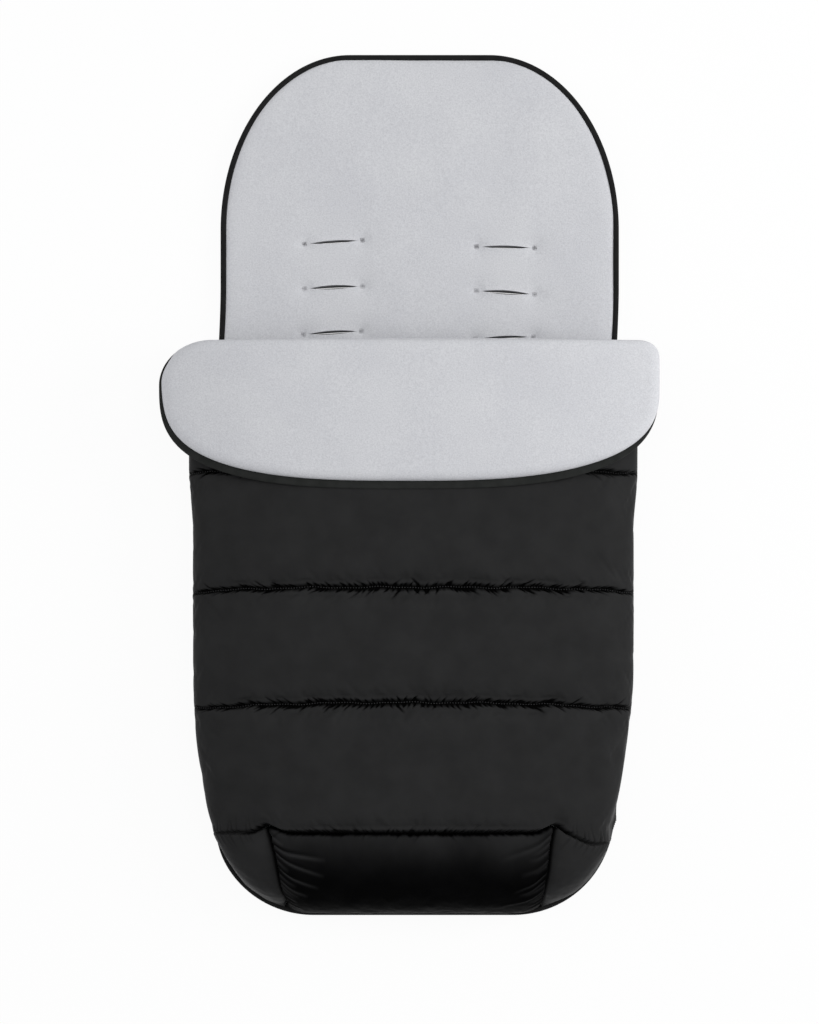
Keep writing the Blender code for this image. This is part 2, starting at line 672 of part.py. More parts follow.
def make_puller(name, side, materials, parts, tools):
    """The pull tab: an eye round the slider's pin, a neck and a tab that lies along the tape."""
    neck_y = SLIDER_Y - PULLER_NECK_LENGTH
    foot_y = neck_y - PULLER_TAB_LENGTH
    eye_radius = PIN_RADIUS + GAP
    half_height = (EAR_SPACING - SLIDER_FLANGE) / 2 - GAP
    thickness = (PIN_X - PULLER_THICKNESS / 2, PIN_X + PULLER_THICKNESS / 2)
    puller = block(name, side, thickness, (foot_y, neck_y),
                   (PIN_Z - PULLER_TAB_WIDTH / 2, PIN_Z + PULLER_TAB_WIDTH / 2), materials["metal"], parts)
    rounding = puller.modifiers.new("corners", "BEVEL")
    rounding.width = PULLER_CORNER
    rounding.segments = ROUND_END_STEPS
    rounding.limit_method = "WEIGHT"
    sides = puller.data.attributes.new("bevel_weight_edge", "FLOAT", "EDGE")
    for edge in puller.data.edges:
        start, end = [puller.data.vertices[index].co for index in edge.vertices]
        sides.data[edge.index].value = 1.0 if abs(start.x - end.x) > PULLER_THICKNESS / 2 else 0.0
    neck = block(name + "_neck", side, thickness, (neck_y - PULLER_CORNER, SLIDER_Y - eye_radius),
                 (PIN_Z - half_height, PIN_Z + half_height), None, tools)
    eye = upright_cylinder(name + "_eye", side, PIN_X, SLIDER_Y, eye_radius + PULLER_EYE_RIM,
                           (PIN_Z - half_height, PIN_Z + half_height), tools)
    bore = upright_cylinder(name + "_bore", side, PIN_X, SLIDER_Y, eye_radius,
                            (PIN_Z - half_height - CUT_OVERRUN, PIN_Z + half_height + CUT_OVERRUN), tools)
    slot_y = foot_y + 2 * PULLER_CORNER
    slot = block(name + "_slot", side, (thickness[0] - CUT_OVERRUN, thickness[1] + CUT_OVERRUN),
                 (slot_y, slot_y + PULLER_SLOT_LENGTH),
                 (PIN_Z - PULLER_CORNER / 2, PIN_Z + PULLER_CORNER / 2), None, tools)
    combine(puller, neck, "UNION")
    combine(puller, eye, "UNION")
    combine(puller, bore, "DIFFERENCE")
    combine(puller, slot, "DIFFERENCE")
    return puller


def make_zip(place, side, cover_pivot, materials, parts, tools):
    make_tape(place + "_back_zip_tape", side, (BACK_TOP_Z + GAP, BACK_CHAIN_Z + CHAIN_WIDTH / 2),
              BACK_CHAIN_Z, materials, parts, tools)
    cover_tape = make_tape(place + "_cover_zip_tape", side,
                           (COVER_TAPE_Z - CHAIN_WIDTH / 2, COVER_TAPE_TOP_Z), COVER_CHAIN_Z,
                           materials, parts, tools)
    attach([cover_tape], cover_pivot)
    block(place + "_zip_stop", side, (ZIP_X - STOP_WIDTH / 2, ZIP_X + STOP_WIDTH / 2),
          (FOOT_SEAM_Y + GAP, FOOT_SEAM_Y + GAP + STOP_LENGTH), (BACK_TOP_Z + GAP, COVER_TAPE_Z),
          materials["metal"], parts)
    slider = make_slider(place + "_zip_slider", side, materials, parts, tools)
    puller = make_puller(place + "_zip_puller", side, materials, parts, tools)
    travel = make_pivot(place + "_slider_travel", (side * ZIP_X, SLIDER_Y, PIN_Z), parts)
    swing = make_pivot(place + "_puller_swing", (side * PIN_X, SLIDER_Y, PIN_Z), parts)
    attach([slider, swing], travel)
    attach([puller], swing)


def main():
    clear_scene()
    parts = make_collection("footmuff")
    tools = make_collection("cutters")
    materials = {
        "shell": make_material("black_polyester", (0.022, 0.022, 0.022), 0.55),
        "fleece": make_material("grey_fleece", (0.58, 0.59, 0.62), 0.95),
        "wadding": make_material("white_wadding", (0.85, 0.85, 0.83), 0.95),
        "binding": make_material("black_binding", (0.014, 0.014, 0.014), 0.7),
        "grip": make_material("grip_rubber", (0.03, 0.03, 0.03), 0.85),
        "tape": make_material("zip_tape", (0.015, 0.015, 0.015), 0.8),
        "metal": make_material("black_metal", (0.03, 0.03, 0.03), 0.35, 0.9),
    }
    make_grip_panels(materials, parts)
    make_back_panel(materials, parts, tools)
    make_foot_box(materials, parts)
    cover_pivot = make_pivot("cover_open", (0, FOOT_SEAM_Y, SEAM_Z), parts)
    attach(make_cover(materials, parts), cover_pivot)
    flap_pivot = make_pivot("flap_fold", (0, FOLD_Y, COVER_HEIGHT + GAP / 2), parts)
    attach(make_flap(materials, parts), flap_pivot)
    attach([flap_pivot], cover_pivot)
    for side, place in ((1, "right"), (-1, "left")):
        make_zip(place, side, cover_pivot, materials, parts, tools)


main()
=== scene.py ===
# %% [markdown]
# # A stroller footmuff, dressed for its picture
#
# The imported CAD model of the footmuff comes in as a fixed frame: plain solids that already have the right
# size, the right place and the joints. This script puts the cloth on it. Each cell makes one piece or one
# finish, and tells first what that piece is on the real footmuff and why it is made the way it is.

# %% Load the frame
import math

import bmesh
import bpy
import numpy as np
from mathutils import Matrix, Vector, noise


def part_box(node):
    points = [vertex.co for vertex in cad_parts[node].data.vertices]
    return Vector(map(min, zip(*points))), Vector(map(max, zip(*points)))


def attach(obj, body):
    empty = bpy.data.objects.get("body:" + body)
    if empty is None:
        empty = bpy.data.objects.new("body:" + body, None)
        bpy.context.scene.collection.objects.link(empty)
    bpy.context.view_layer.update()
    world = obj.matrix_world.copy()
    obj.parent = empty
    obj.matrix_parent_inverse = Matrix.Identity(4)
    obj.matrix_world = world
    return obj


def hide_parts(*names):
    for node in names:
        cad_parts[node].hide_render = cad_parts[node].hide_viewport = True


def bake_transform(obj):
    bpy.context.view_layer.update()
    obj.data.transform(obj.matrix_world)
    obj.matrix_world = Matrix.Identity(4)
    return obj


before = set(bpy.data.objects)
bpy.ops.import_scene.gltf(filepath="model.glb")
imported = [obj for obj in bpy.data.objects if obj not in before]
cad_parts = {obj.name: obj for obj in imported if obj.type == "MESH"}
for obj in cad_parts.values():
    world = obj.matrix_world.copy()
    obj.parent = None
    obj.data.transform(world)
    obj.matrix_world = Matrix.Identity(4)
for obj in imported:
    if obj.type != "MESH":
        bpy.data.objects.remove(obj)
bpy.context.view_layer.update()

# %% [markdown]
# ## The camera
#
# The footmuff was photographed from straight above. A camera that looks down needs no turning in Blender,
# because its own view direction is -Z. A long lens three metres up keeps the sides from leaning outwards.
# The picture is taller than wide, and Blender then measures the sensor along its height. The length of the
# picture is the one at the height of the back.

# %% Place the camera
CAMERA_X, CAMERA_Y, CAMERA_Z = -0.0077, -0.0298, 3.0
PICTURE_LENGTH, PICTURE_Z = 1.131, 0.012
SENSOR = 36


def new_object(name, data):
    """An object with this data, linked to the scene."""
    made = bpy.data.objects.new(name, data)
    bpy.context.scene.collection.objects.link(made)
    return made


camera_lens = bpy.data.cameras.new("camera")
camera_lens.sensor_width = SENSOR
camera_lens.lens = SENSOR * (CAMERA_Z - PICTURE_Z) / PICTURE_LENGTH
camera_lens.clip_end = 50
camera = new_object("camera", camera_lens)
camera.location = (CAMERA_X, CAMERA_Y, CAMERA_Z)
bpy.context.scene.camera = camera
print("lens:", round(camera_lens.lens, 1), "mm")

# %% [markdown]
# ## Helpers for nodes
#
# The light, every finish and every swept piece below is a small tree of nodes. These helpers keep the trees
# readable: they add a node with its settings and links, mix two colours, or make a random or woven height.

# %% Node helpers
# A mix node has sockets for every type. These are the places of the ones for colours.
COLOUR_A, COLOUR_B, COLOUR_RESULT = 6, 7, 2
# A wave texture at scale 1 turns by this many radians in a metre.
WAVE_RADIANS = 20


def feed(tree, value, socket):
    """Links an output to a socket, or gives the socket a plain value."""
    if isinstance(value, bpy.types.NodeSocket):
        tree.links.new(value, socket)
    else:
        socket.default_value = value


def add_node(tree, kind, settings=None, **inputs):
    """A new node: settings are its properties, inputs a value or an output for its sockets by name."""
    node = tree.nodes.new(kind)
    for name, value in (settings or {}).items():
        setattr(node, name, value)
    for name, value in inputs.items():
        feed(tree, value, node.inputs[name.replace("_", " ")])
    return node


def maths(tree, operation, first, second):
    """The output of a node that works out one number from two."""
    node = add_node(tree, "ShaderNodeMath", {"operation": operation})
    feed(tree, first, node.inputs[0])
    feed(tree, second, node.inputs[1])
    return node.outputs[0]


def mix_colours(tree, share, first, second, blend="MIX"):
    mix = add_node(tree, "ShaderNodeMix", {"data_type": "RGBA", "blend_type": blend}, Factor=share)
    feed(tree, first, mix.inputs[COLOUR_A])
    feed(tree, second, mix.inputs[COLOUR_B])
    return mix.outputs[COLOUR_RESULT]


def noise_height(tree, place, scale, detail=2.0, roughness=0.5):
    """Random heights from 0 to 1, in blotches of about 1/scale metres."""
    return add_node(tree, "ShaderNodeTexNoise", Vector=place, Scale=scale, Detail=detail,
                    Roughness=roughness).outputs["Fac"]


def two_tones(tree, height, low, high):
    """A colour between two tones: low and high are each a height and its colour."""
    ramp = add_node(tree, "ShaderNodeValToRGB", Fac=height)
    for number, (position, colour) in enumerate((low, high)):
        ramp.color_ramp.elements[number].position = position
        ramp.color_ramp.elements[number].color = (*colour, 1)
    return ramp.outputs["Color"]


def mottle(tree, place, scale, dark, light, detail=3.0):
    """A colour that wanders between dark and light, in blotches of about 1/scale metres."""
    return two_tones(tree, noise_height(tree, place, scale, detail), (0.32, dark), (0.68, light))


def weave(tree, place, turns):
    """The height of a plain weave: two sets of thread waves that cross, and turn by turns radians a metre."""
    waves = [add_node(tree, "ShaderNodeTexWave", {"bands_direction": direction}, Vector=place,
                      Scale=turns / WAVE_RADIANS, Distortion=0.6, Detail=1.0).outputs["Fac"]
             for direction in ("X", "Y")]
    return maths(tree, "MULTIPLY", *waves)


def stack_bumps(tree, shader, layers):
    """Chains bump nodes onto the shader: layers are (height output, strength, distance)."""
    below = None
    for height, strength, distance in layers:
        bump = add_node(tree, "ShaderNodeBump", Strength=strength, Distance=distance, Height=height)
        if below is not None:
            tree.links.new(below, bump.inputs["Normal"])
        below = bump.outputs["Normal"]
    tree.links.new(below, shader.inputs["Normal"])


def start_material(name, roughness, specular, sheen=0.0, sheen_roughness=0.5, metallic=0.0):
    material = bpy.data.materials.new(name)
    material.use_nodes = True
    shader = material.node_tree.nodes["Principled BSDF"]
    for label, value in (("Roughness", roughness), ("Specular IOR Level", specular), ("Sheen Weight", sheen),
                         ("Sheen Roughness", sheen_roughness), ("Metallic", metallic)):
        shader.inputs[label].default_value = value
    return material, material.node_tree, shader


def object_place(tree):
    """The place on the piece, in metres, which finishes are drawn by."""
    return add_node(tree, "ShaderNodeTexCoord").outputs["Object"]


print("node helpers ready")

# %% [markdown]
# ## Light and world
#
# Black cloth shows its folds only through soft reflections, so the light comes from one wide lamp above it,
# one low on each side, the right one stronger, and the world, which fills in the rest. Together they light a
# flat white sheet to just about white, so every colour renders about as it is written. A ray that sees the
# background gets pure white instead.

# %% Light the scene
WORLD_STRENGTH = 0.42
KEY_POWER, RIGHT_POWER, LEFT_POWER = 18, 37, 12


def seeing_rays(tree):
    """One for rays that see a background, straight, mirrored or through glass, and zero for light."""
    rays = add_node(tree, "ShaderNodeLightPath")
    straight_or_mirrored = maths(tree, "MAXIMUM", rays.outputs["Is Camera Ray"], rays.outputs["Is Glossy Ray"])
    return maths(tree, "MAXIMUM", straight_or_mirrored, rays.outputs["Is Transmission Ray"])


def split_rays(tree, share, lit, seen, output_name):
    """Shows the shader seen to a share of the rays, and the shader lit to the rest."""
    split = add_node(tree, "ShaderNodeMixShader")
    for value, socket in zip((share, lit.outputs[0], seen.outputs[0]), split.inputs):
        feed(tree, value, socket)
    feed(tree, split.outputs[0], tree.nodes[output_name].inputs["Surface"])


def add_lamp(name, place, size, power):
    """A rectangular lamp that faces the middle of the scene."""
    lamp = bpy.data.lights.new(name, "AREA")
    lamp.shape = "RECTANGLE"
    lamp.size, lamp.size_y = size
    lamp.energy = power
    lamp_object = new_object(name, lamp)
    lamp_object.location = place
    lamp_object.rotation_euler = (-Vector(place)).to_track_quat("-Z", "Y").to_euler()
    lamp_object.visible_camera = False


world = bpy.data.worlds.new("studio")
world.use_nodes = True
bpy.context.scene.world = world
sky = world.node_tree.nodes["Background"]
sky.inputs["Color"].default_value = (0.97, 0.98, 1.0, 1.0)
sky.inputs["Strength"].default_value = WORLD_STRENGTH
white = add_node(world.node_tree, "ShaderNodeBackground", Color=(1, 1, 1, 1))
split_rays(world.node_tree, seeing_rays(world.node_tree), sky, white, "World Output")

add_lamp("key", (0.30, 0.42, 2.7), (1.4, 1.4), KEY_POWER)
add_lamp("right", (2.25, 0.3, 1.3), (1.1, 1.6), RIGHT_POWER)
add_lamp("left", (-2.1, 0.3, 1.4), (0.9, 1.6), LEFT_POWER)
bpy.context.scene.view_settings.view_transform = "Standard"
print("lamps:", KEY_POWER, "W above,", RIGHT_POWER, "W right,", LEFT_POWER, "W left")

# %% [markdown]
# ## The floor
#
# A plain pale floor. A ray that sees it gets most of its light from pure white and the rest from the lit
# floor, which is how the background stays white while a soft shadow still shows under the footmuff.

# %% Make the floor
FLOOR_SIZE = 12
SHADOW_SHARE = 0.06

floor_material, floor_tree, floor_shader = start_material("pale_floor", 0.9, 0.0)
floor_shader.inputs["Base Color"].default_value = (0.9, 0.9, 0.9, 1)
floor_glow = add_node(floor_tree, "ShaderNodeEmission", Strength=1.0)
split_rays(floor_tree, maths(floor_tree, "MULTIPLY", seeing_rays(floor_tree), 1 - SHADOW_SHARE),
           floor_shader, floor_glow, "Material Output")

floor_shape = bmesh.new()
bmesh.ops.create_grid(floor_shape, x_segments=1, y_segments=1, size=FLOOR_SIZE / 2)
floor_mesh = bpy.data.meshes.new("floor")
floor_shape.to_mesh(floor_mesh)
floor_shape.free()
floor_mesh.materials.append(floor_material)
new_object("floor", floor_mesh)
print("floor:", FLOOR_SIZE, "m wide")

# %% [markdown]
# ## Sizes from the frame
#
# The boxes of the CAD nodes give the main sizes. The few shapes that a box can't tell, such as how round a
# corner is, are named here once, with the same values as the CAD model has.

# %% Read the sizes
panel_low, panel_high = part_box("back_binding")
shell_low, shell_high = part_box("cover_shell")
tape_low, tape_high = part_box("right_cover_zip_tape")
back_tape_low, back_tape_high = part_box("right_back_zip_tape")

HEAD_Y, FOOT_Y, BACK_HALF = panel_high[1], panel_low[1], panel_high[0]
BACK_TOP_Z, BACK_LOW_Z = panel_high[2], panel_low[2]
FOLD_Y, CROWN_Z, WIDEST_X = shell_high[1], shell_high[2], shell_high[0]
FOOT_SEAM_Y, COVER_EDGE_Z = shell_low[1], shell_low[2]
BINDING_WIDTH = BACK_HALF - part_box("back_lining")[1][0]
HEAD_CORNER = (0.143, 0.193)
FOOT_CORNER = (0.110, FOOT_SEAM_Y - FOOT_Y)
LOW_X = 0.2192
WIDEST_Z = 0.060
ARCH_POWER = 2.6
WALL = 0.015
EDGE_WALL = 0.0051
SEAM_YS = (FOOT_SEAM_Y, -0.2393, -0.1153, 0.0107, FOLD_Y)
DART_TOP_X, DART_FOOT_X = 0.1600, 0.1434
print("back", round(2 * BACK_HALF, 3), "x", round(HEAD_Y - FOOT_Y, 3), "m, cover", round(2 * WIDEST_X, 3), "m wide")

# %% [markdown]
# ## Helpers for cloth
#
# A sheet of cloth is easiest to think of as a net: rows and columns of points. The helpers below turn such
# nets into meshes, measure how far each point is from the net's edges along the cloth, and press small
# creases into it. A crease is a soft groove with a start, a direction, a length, a width and a depth.

# %% Net helpers
CREASE_LEAD, CREASE_REACH = 0.15, 2.6
rng = np.random.default_rng(41)


def smooth(share):
    """Eases a share from 0 to 1, level at both ends."""
    share = np.clip(share, 0, 1)
    return share * share * (3 - 2 * share)


def bell(offset, width):
    """One at offset 0, and falling off to both sides."""
    return np.exp(-(offset / width) ** 2)


def points_from(*coordinates):
    """Points from the arrays of their coordinates."""
    return np.stack(coordinates, axis=-1)


def grid_faces(index):
    """The four corners of each face of a grid, from the numbers of its points."""
    return points_from(index[:-1, :-1], index[:-1, 1:], index[1:, 1:], index[1:, :-1])


def net_normals(net):
    """The unit normal at each point of a net, from its neighbours."""
    along, across = np.gradient(net, axis=0), np.gradient(net, axis=1)
    normals = np.cross(across, along)
    return normals / np.maximum(np.linalg.norm(normals, axis=2, keepdims=True), 1e-12)


def arc_lengths(net):
    """How far each point lies along its row and along its column, in metres."""
    across = np.linalg.norm(np.diff(net, axis=1), axis=2)
    along = np.linalg.norm(np.diff(net, axis=0), axis=2)
    u = np.concatenate([np.zeros((len(net), 1)), np.cumsum(across, axis=1)], axis=1)
    v = np.concatenate([np.zeros((1, net.shape[1])), np.cumsum(along, axis=0)], axis=0)
    return u, v


def wander(u, v, scale, seed, octaves=2):
    """Smooth random heights between about -1 and 1, in swells of about scale metres."""
    points = points_from(u / scale, v / scale).reshape(-1, 2)
    heights = [noise.fractal((x, y, seed * 7.3), 1.0, 2.0, octaves) for x, y in points]
    return np.array(heights).reshape(u.shape)


def press_creases(u, v, creases):
    """The heights that creases leave on the cloth: below 0 for grooves, above for ridges."""
    heights = np.zeros_like(u)
    for start_u, start_v, angle, length, width, height in creases:
        along = ((u - start_u) * math.cos(angle) + (v - start_v) * math.sin(angle)) / length
        aside = (-(u - start_u) * math.sin(angle) + (v - start_v) * math.cos(angle)) / width
        near = (along > -CREASE_LEAD) & (along < 1) & (np.abs(aside) < CREASE_REACH)
        taper = smooth((along[near] + CREASE_LEAD) / (2 * CREASE_LEAD)) * (1 - np.clip(along[near], 0, 1)) ** 0.8
        heights[near] += height * taper * np.exp(-aside[near] ** 2)
    return heights


def build_mesh(name, points, faces, material_list, uv=None, smooth_angle=None):
    mesh = bpy.data.meshes.new(name)
    mesh.from_pydata(np.asarray(points).tolist(), [], faces)
    for material in material_list:
        mesh.materials.append(material)
    if uv is not None:
        layer = mesh.uv_layers.new(name="cloth")
        loops = np.zeros(len(mesh.loops), dtype=np.int32)
        mesh.loops.foreach_get("vertex_index", loops)
        layer.data.foreach_set("uv", np.asarray(uv, dtype=np.float32)[loops].ravel())
    mesh.shade_smooth()
    if smooth_angle is not None:
        mesh.set_sharp_from_angle(angle=math.radians(smooth_angle))
    mesh.update()
    return new_object(name, mesh)


def set_share(piece, label, values):
    """Writes a share from 0 to 1 for each point, such as its painted shade; points past the end of values get 0."""
    layer = piece.data.attributes.new(label, "FLOAT", "POINT")
    every = np.zeros(len(piece.data.vertices), dtype=np.float32)
    every[:values.size] = np.clip(values, 0, 1).ravel()
    layer.data.foreach_set("value", every)


def turn_outwards(points, faces):
    """Flips the faces if the closed shape that they make is inside out."""
    corners = np.array([[face[0], face[1], face[2]] for face in faces] +
                       [[face[0], face[2], face[3]] for face in faces if len(face) == 4])
    a, b, c = (points[corners[:, column]] for column in range(3))
    volume = np.einsum("ij,ij->i", a, np.cross(b, c)).sum() / 6
    return [face[::-1] for face in faces] if volume < 0 else faces


def closed_pad(name, outer, inner, material):
    """A closed piece between an outer net and an inner net with the same rows and 1/step of its columns."""
    rows, columns = outer.shape[:2]
    inner_columns = inner.shape[1]
    step = (columns - 1) // (inner_columns - 1)
    half_step = (step + 1) // 2
    base = rows * columns
    faces = []
    for row in range(rows - 1):
        for column in range(columns - 1):
            corner = row * columns + column
            faces.append((corner, corner + 1, corner + columns + 1, corner + columns))
        for column in range(inner_columns - 1):
            corner = base + row * inner_columns + column
            faces.append((corner + inner_columns, corner + inner_columns + 1, corner + 1, corner))
        for column, inner_column, flip in ((0, 0, False), (columns - 1, inner_columns - 1, True)):
            side = (row * columns + column, (row + 1) * columns + column,
                    base + (row + 1) * inner_columns + inner_column, base + row * inner_columns + inner_column)
            faces.append(side[::-1] if flip else side)
    for row, flip in ((0, True), (rows - 1, False)):
        for inner_column in range(inner_columns - 1):
            start, left = row * columns + inner_column * step, base + row * inner_columns + inner_column
            fan = [(start + part, start + part + 1, left if part < half_step else left + 1) for part in range(step)]
            fan.insert(half_step, (start + half_step, left + 1, left))
            faces += [triangle if flip else triangle[::-1] for triangle in fan]
    points = np.concatenate([outer.reshape(-1, 3), inner.reshape(-1, 3)])
    uv = np.concatenate([points_from(*arc_lengths(net)).reshape(-1, 2) for net in (outer, inner)])
    print(f"{name}: {len(points)} points, {len(faces)} faces")
    return build_mesh(name, points, turn_outwards(points, faces), [material], uv)


print("net helpers ready")

# %% [markdown]
# ## Black puffer cloth
#
# The cover is sewn from a dense black polyester with a dull face. Its weave is far finer than a millimetre,
# so it shows as a quiet sheen and a faint unevenness of tone. The tree has three layers of bump: the weave,
# the tiny crinkles that such cloth keeps from packing, and a slow unevenness from the wadding below. Two
# attributes come from the pieces themselves, and both paint light into the colour. One is painted shade:
# it darkens the cloth to near black in the sewn valleys, the darts and the grooves of puckers and folds. The
# other is a painted highlight: it lightens the foot panel along its seam and on the ridges beside its folds.

# %% Make the puffer cloth
# The near black that the painted shade mixes into the cloth in valleys and grooves.
PAINTED_SHADE_BLACK = (0.0004, 0.0004, 0.0004, 1)


def make_puffer(name, dark, light, highlight_colour, roughness, specular, sheen):
    material, tree, shader = start_material(name, roughness, specular, sheen, 0.45)
    coordinates = add_node(tree, "ShaderNodeTexCoord")
    place = coordinates.outputs["Object"]
    # Two attributes paint light into the colour: the first is painted shade, to near black, in valleys and grooves; the
    # second is a painted highlight.
    painted_crease_shade, painted_highlight = [add_node(tree, "ShaderNodeAttribute", {"attribute_name": label}).outputs["Fac"]
                    for label in ("painted_crease_shade", "painted_highlight")]
    highlighted = mix_colours(tree, painted_highlight, mottle(tree, place, 38, dark, light), (*highlight_colour, 1))
    feed(tree, mix_colours(tree, painted_crease_shade, highlighted, PAINTED_SHADE_BLACK), shader.inputs["Base Color"])
    crinkle = noise_height(tree, place, 210, 4.0, 0.6)
    shine = add_node(tree, "ShaderNodeMapRange", Value=crinkle, To_Min=roughness - 0.06, To_Max=roughness + 0.06)
    feed(tree, shine.outputs["Result"], shader.inputs["Roughness"])
    stack_bumps(tree, shader, [
        (noise_height(tree, place, 34), 0.35, 0.002),
        (crinkle, 0.12, 0.0006),
        (weave(tree, coordinates.outputs["UV"], 2600), 0.08, 0.0001),
    ])
    return material


# The third colour of each cloth is the colour of its painted highlight.
puffer = make_puffer("black_puffer_cloth", (0.0196, 0.0196, 0.0198), (0.0234, 0.0234, 0.0236),
                     (0.036, 0.036, 0.036), 0.42, 0.010, 0.03)
foot_cloth = make_puffer("glossy_black_cloth", (0.0016, 0.0016, 0.0017), (0.0026, 0.0026, 0.0027),
                         (0.030, 0.030, 0.0305), 0.40, 0.002, 0.0)
print("puffer cloth:", puffer.name, foot_cloth.name)

# %% [markdown]
# ## Grey fleece
#
# The lining is a short-pile fleece. What makes it read as fleece is a grain of about a millimetre, where
# tufts of pile catch the light and the gaps between them don't, under a very slight unevenness in the grey.
# Bump alone looks like plaster, so the same grain also lightens and darkens the colour, and a sheen
# stands for the fibre ends that stick up.

# %% Make the fleece
def make_fleece(name, dark, light):
    material, tree, shader = start_material(name, 0.95, 0.05, 0.06, 0.6)
    place = object_place(tree)
    pile = noise_height(tree, place, 620, 4.0, 0.75)
    grain = two_tones(tree, pile, (0.30, (0.79, 0.79, 0.80)), (0.62, (1, 1, 1)))
    colour = mix_colours(tree, 1.0, mottle(tree, place, 14, dark, light, 2.0), grain, "MULTIPLY")
    feed(tree, colour, shader.inputs["Base Color"])
    stack_bumps(tree, shader, [(noise_height(tree, place, 150), 0.25, 0.0012), (pile, 0.35, 0.0008)])
    return material


fleece = make_fleece("grey_fleece", (0.635, 0.64, 0.665), (0.67, 0.675, 0.695))
print("fleece:", fleece.name)

# %% [markdown]
# ## Binding, zip tape and thread
#
# Narrow woven tapes bind the raw edges. They are ribbed across, and much the same black as the cloth beside
# them. The zip tape has finer ribs. Thread is drawn the same way, with ribs so fine that they read as a twist.

# %% Make the narrow cloths
def make_tape_cloth(name, dark, light, turns, roughness=0.7, specular=0.06):
    """A ribbed cloth: its ribs turn by turns radians a metre."""
    material, tree, shader = start_material(name, roughness, specular, 0.04)
    place = object_place(tree)
    feed(tree, mottle(tree, place, 90, dark, light), shader.inputs["Base Color"])
    ribs = add_node(tree, "ShaderNodeTexWave", {"bands_direction": "DIAGONAL"}, Vector=place,
                    Scale=turns / WAVE_RADIANS, Distortion=0.4)
    stack_bumps(tree, shader, [(ribs.outputs["Fac"], 0.25, 0.0003), (noise_height(tree, place, 900), 0.2, 0.0002)])
    return material


binding_cloth = make_tape_cloth("black_binding_tape", (0.008, 0.008, 0.008), (0.012, 0.012, 0.012), 700)
collar_band_cloth = make_tape_cloth("collar_binding_tape", (0.014, 0.015, 0.014), (0.020, 0.021, 0.020), 800)
zip_cloth = make_tape_cloth("black_zip_tape", (0.010, 0.010, 0.010), (0.016, 0.016, 0.016), 1400)
black_thread = make_tape_cloth("black_thread", (0.024, 0.024, 0.025), (0.036, 0.036, 0.037), 2200, 0.45)
grey_thread = make_tape_cloth("grey_thread", (0.40, 0.40, 0.42), (0.46, 0.46, 0.48), 2200, 0.6)
zip_teeth_plastic = make_tape_cloth("black_zip_coil", (0.008, 0.008, 0.008), (0.012, 0.012, 0.012), 500, 0.32, 0.3)
inner_cloth = make_tape_cloth("grey_inner_cloth", (0.085, 0.085, 0.088), (0.115, 0.115, 0.119), 1200)
print("narrow cloths: binding, collar band, zip tape, threads, zip coil")

# %% [markdown]
# ## Grip cloth and metal
#
# Under the back lie two panels of anti-slip cloth: a knitted base with soft rubber dots printed on it. The
# zip's sliders and pullers are metal with a black lacquer, which wears thin where fingers and the tape rub.

# %% Make grip and metal
def make_grained(name, dark, light, blotches, grain, bump, **finish):
    """A plain finish: blotches of two tones under a fine grain, given as its scale and detail."""
    material, tree, shader = start_material(name, **finish)
    place = object_place(tree)
    feed(tree, mottle(tree, place, blotches, dark, light), shader.inputs["Base Color"])
    stack_bumps(tree, shader, [(noise_height(tree, place, *grain), *bump)])
    return material


grip_base = make_tape_cloth("grip_base_cloth", (0.020, 0.020, 0.021), (0.028, 0.028, 0.029), 900, 0.85)
rubber = make_grained("soft_black_rubber", (0.012, 0.012, 0.012), (0.020, 0.020, 0.020), 160, (1500, 2.0),
                      (0.2, 0.0001), roughness=0.62, specular=0.4)
black_metal = make_grained("lacquered_black_metal", (0.018, 0.018, 0.019), (0.050, 0.050, 0.052), 420,
                           (2400, 3.0), (0.12, 0.00008), roughness=0.34, specular=0.5, metallic=0.85)
print("grip and metal:", grip_base.name, rubber.name, black_metal.name)

# %% [markdown]
# ## How the cloth leans
#
# Nothing soft lies quite straight. Seen from above, the head end of this footmuff lies a few millimetres to
# the right of its middle line and the puffed cover a few to the left. One small function for each keeps that
# lean the same for every piece that touches, and leaves the zip where the frame has it.

# %% The lean of the back and of the cover
# How far each goes, the y or z where it starts, and the length over which it grows.
HEAD_LEAN, FOOT_LEAN, COVER_LEAN = (0.0036, 0.10, 0.12), (-0.0036, -0.32, -0.10), (-0.0038, 0.036, 0.03)
# The cover's swell under the collar, in the same form, and its pull at the foot seam. Both hold at PULL_X from
# the middle, and both start just above the zip.
UNDER_COLLAR_SWELL, PULL_X = (0.0038, -0.050, 0.065), 0.22
SEAM_PULL, SEAM_PULL_Y, SEAM_PULL_REACH = 0.0030, -0.388, 0.026
ABOVE_ZIP = (1, 0.031, 0.014)
# Where the sides shift to the left: the y, half the length and the amount of each shift.
SHIN_SHIFTS = ((-0.365, 0.034, 0.0022), (-0.295, 0.045, 0.0019))


def grow(place, amount, start, length):
    return amount * smooth((place - start) / length)


def back_lean(y):
    return grow(y, *HEAD_LEAN) + grow(y, *FOOT_LEAN)


def cover_lean(z):
    return grow(z, *COVER_LEAN)


def side_pull(x, y, z):
    """How far the sides move: in at the foot seam, out under the collar, and a little to the left at the shins."""
    outwards = grow(y, *UNDER_COLLAR_SWELL) - SEAM_PULL * bell(y - SEAM_PULL_Y, SEAM_PULL_REACH)
    aside = -sum(amount * bell(y - middle, length) for middle, length, amount in SHIN_SHIFTS)
    return (outwards * x / PULL_X + aside) * grow(z, *ABOVE_ZIP)


print("lean at the head:", HEAD_LEAN[0], "m, at the cover:", COVER_LEAN[0], "m")

# %% [markdown]
# ## The arch
#
# Across, the cover is an arch: a low side wall that swells outwards above the zip, and a flattened round
# crown. That crown is half a superellipse, which is the ellipse's equation with a power above two. The arch
# is measured once, so that columns of the net can be spread evenly along it.

# %% The arch of the cover
SWELL_SHARE = 0.35


def reach_at(y):
    """Half the cover's width at y: it swells from the foot seam on."""
    rise = np.clip((y - FOOT_SEAM_Y) / (FOLD_Y - FOOT_SEAM_Y) / SWELL_SHARE, 0, 1)
    return LOW_X + (WIDEST_X - LOW_X) * (1 - (1 - rise) ** 2)


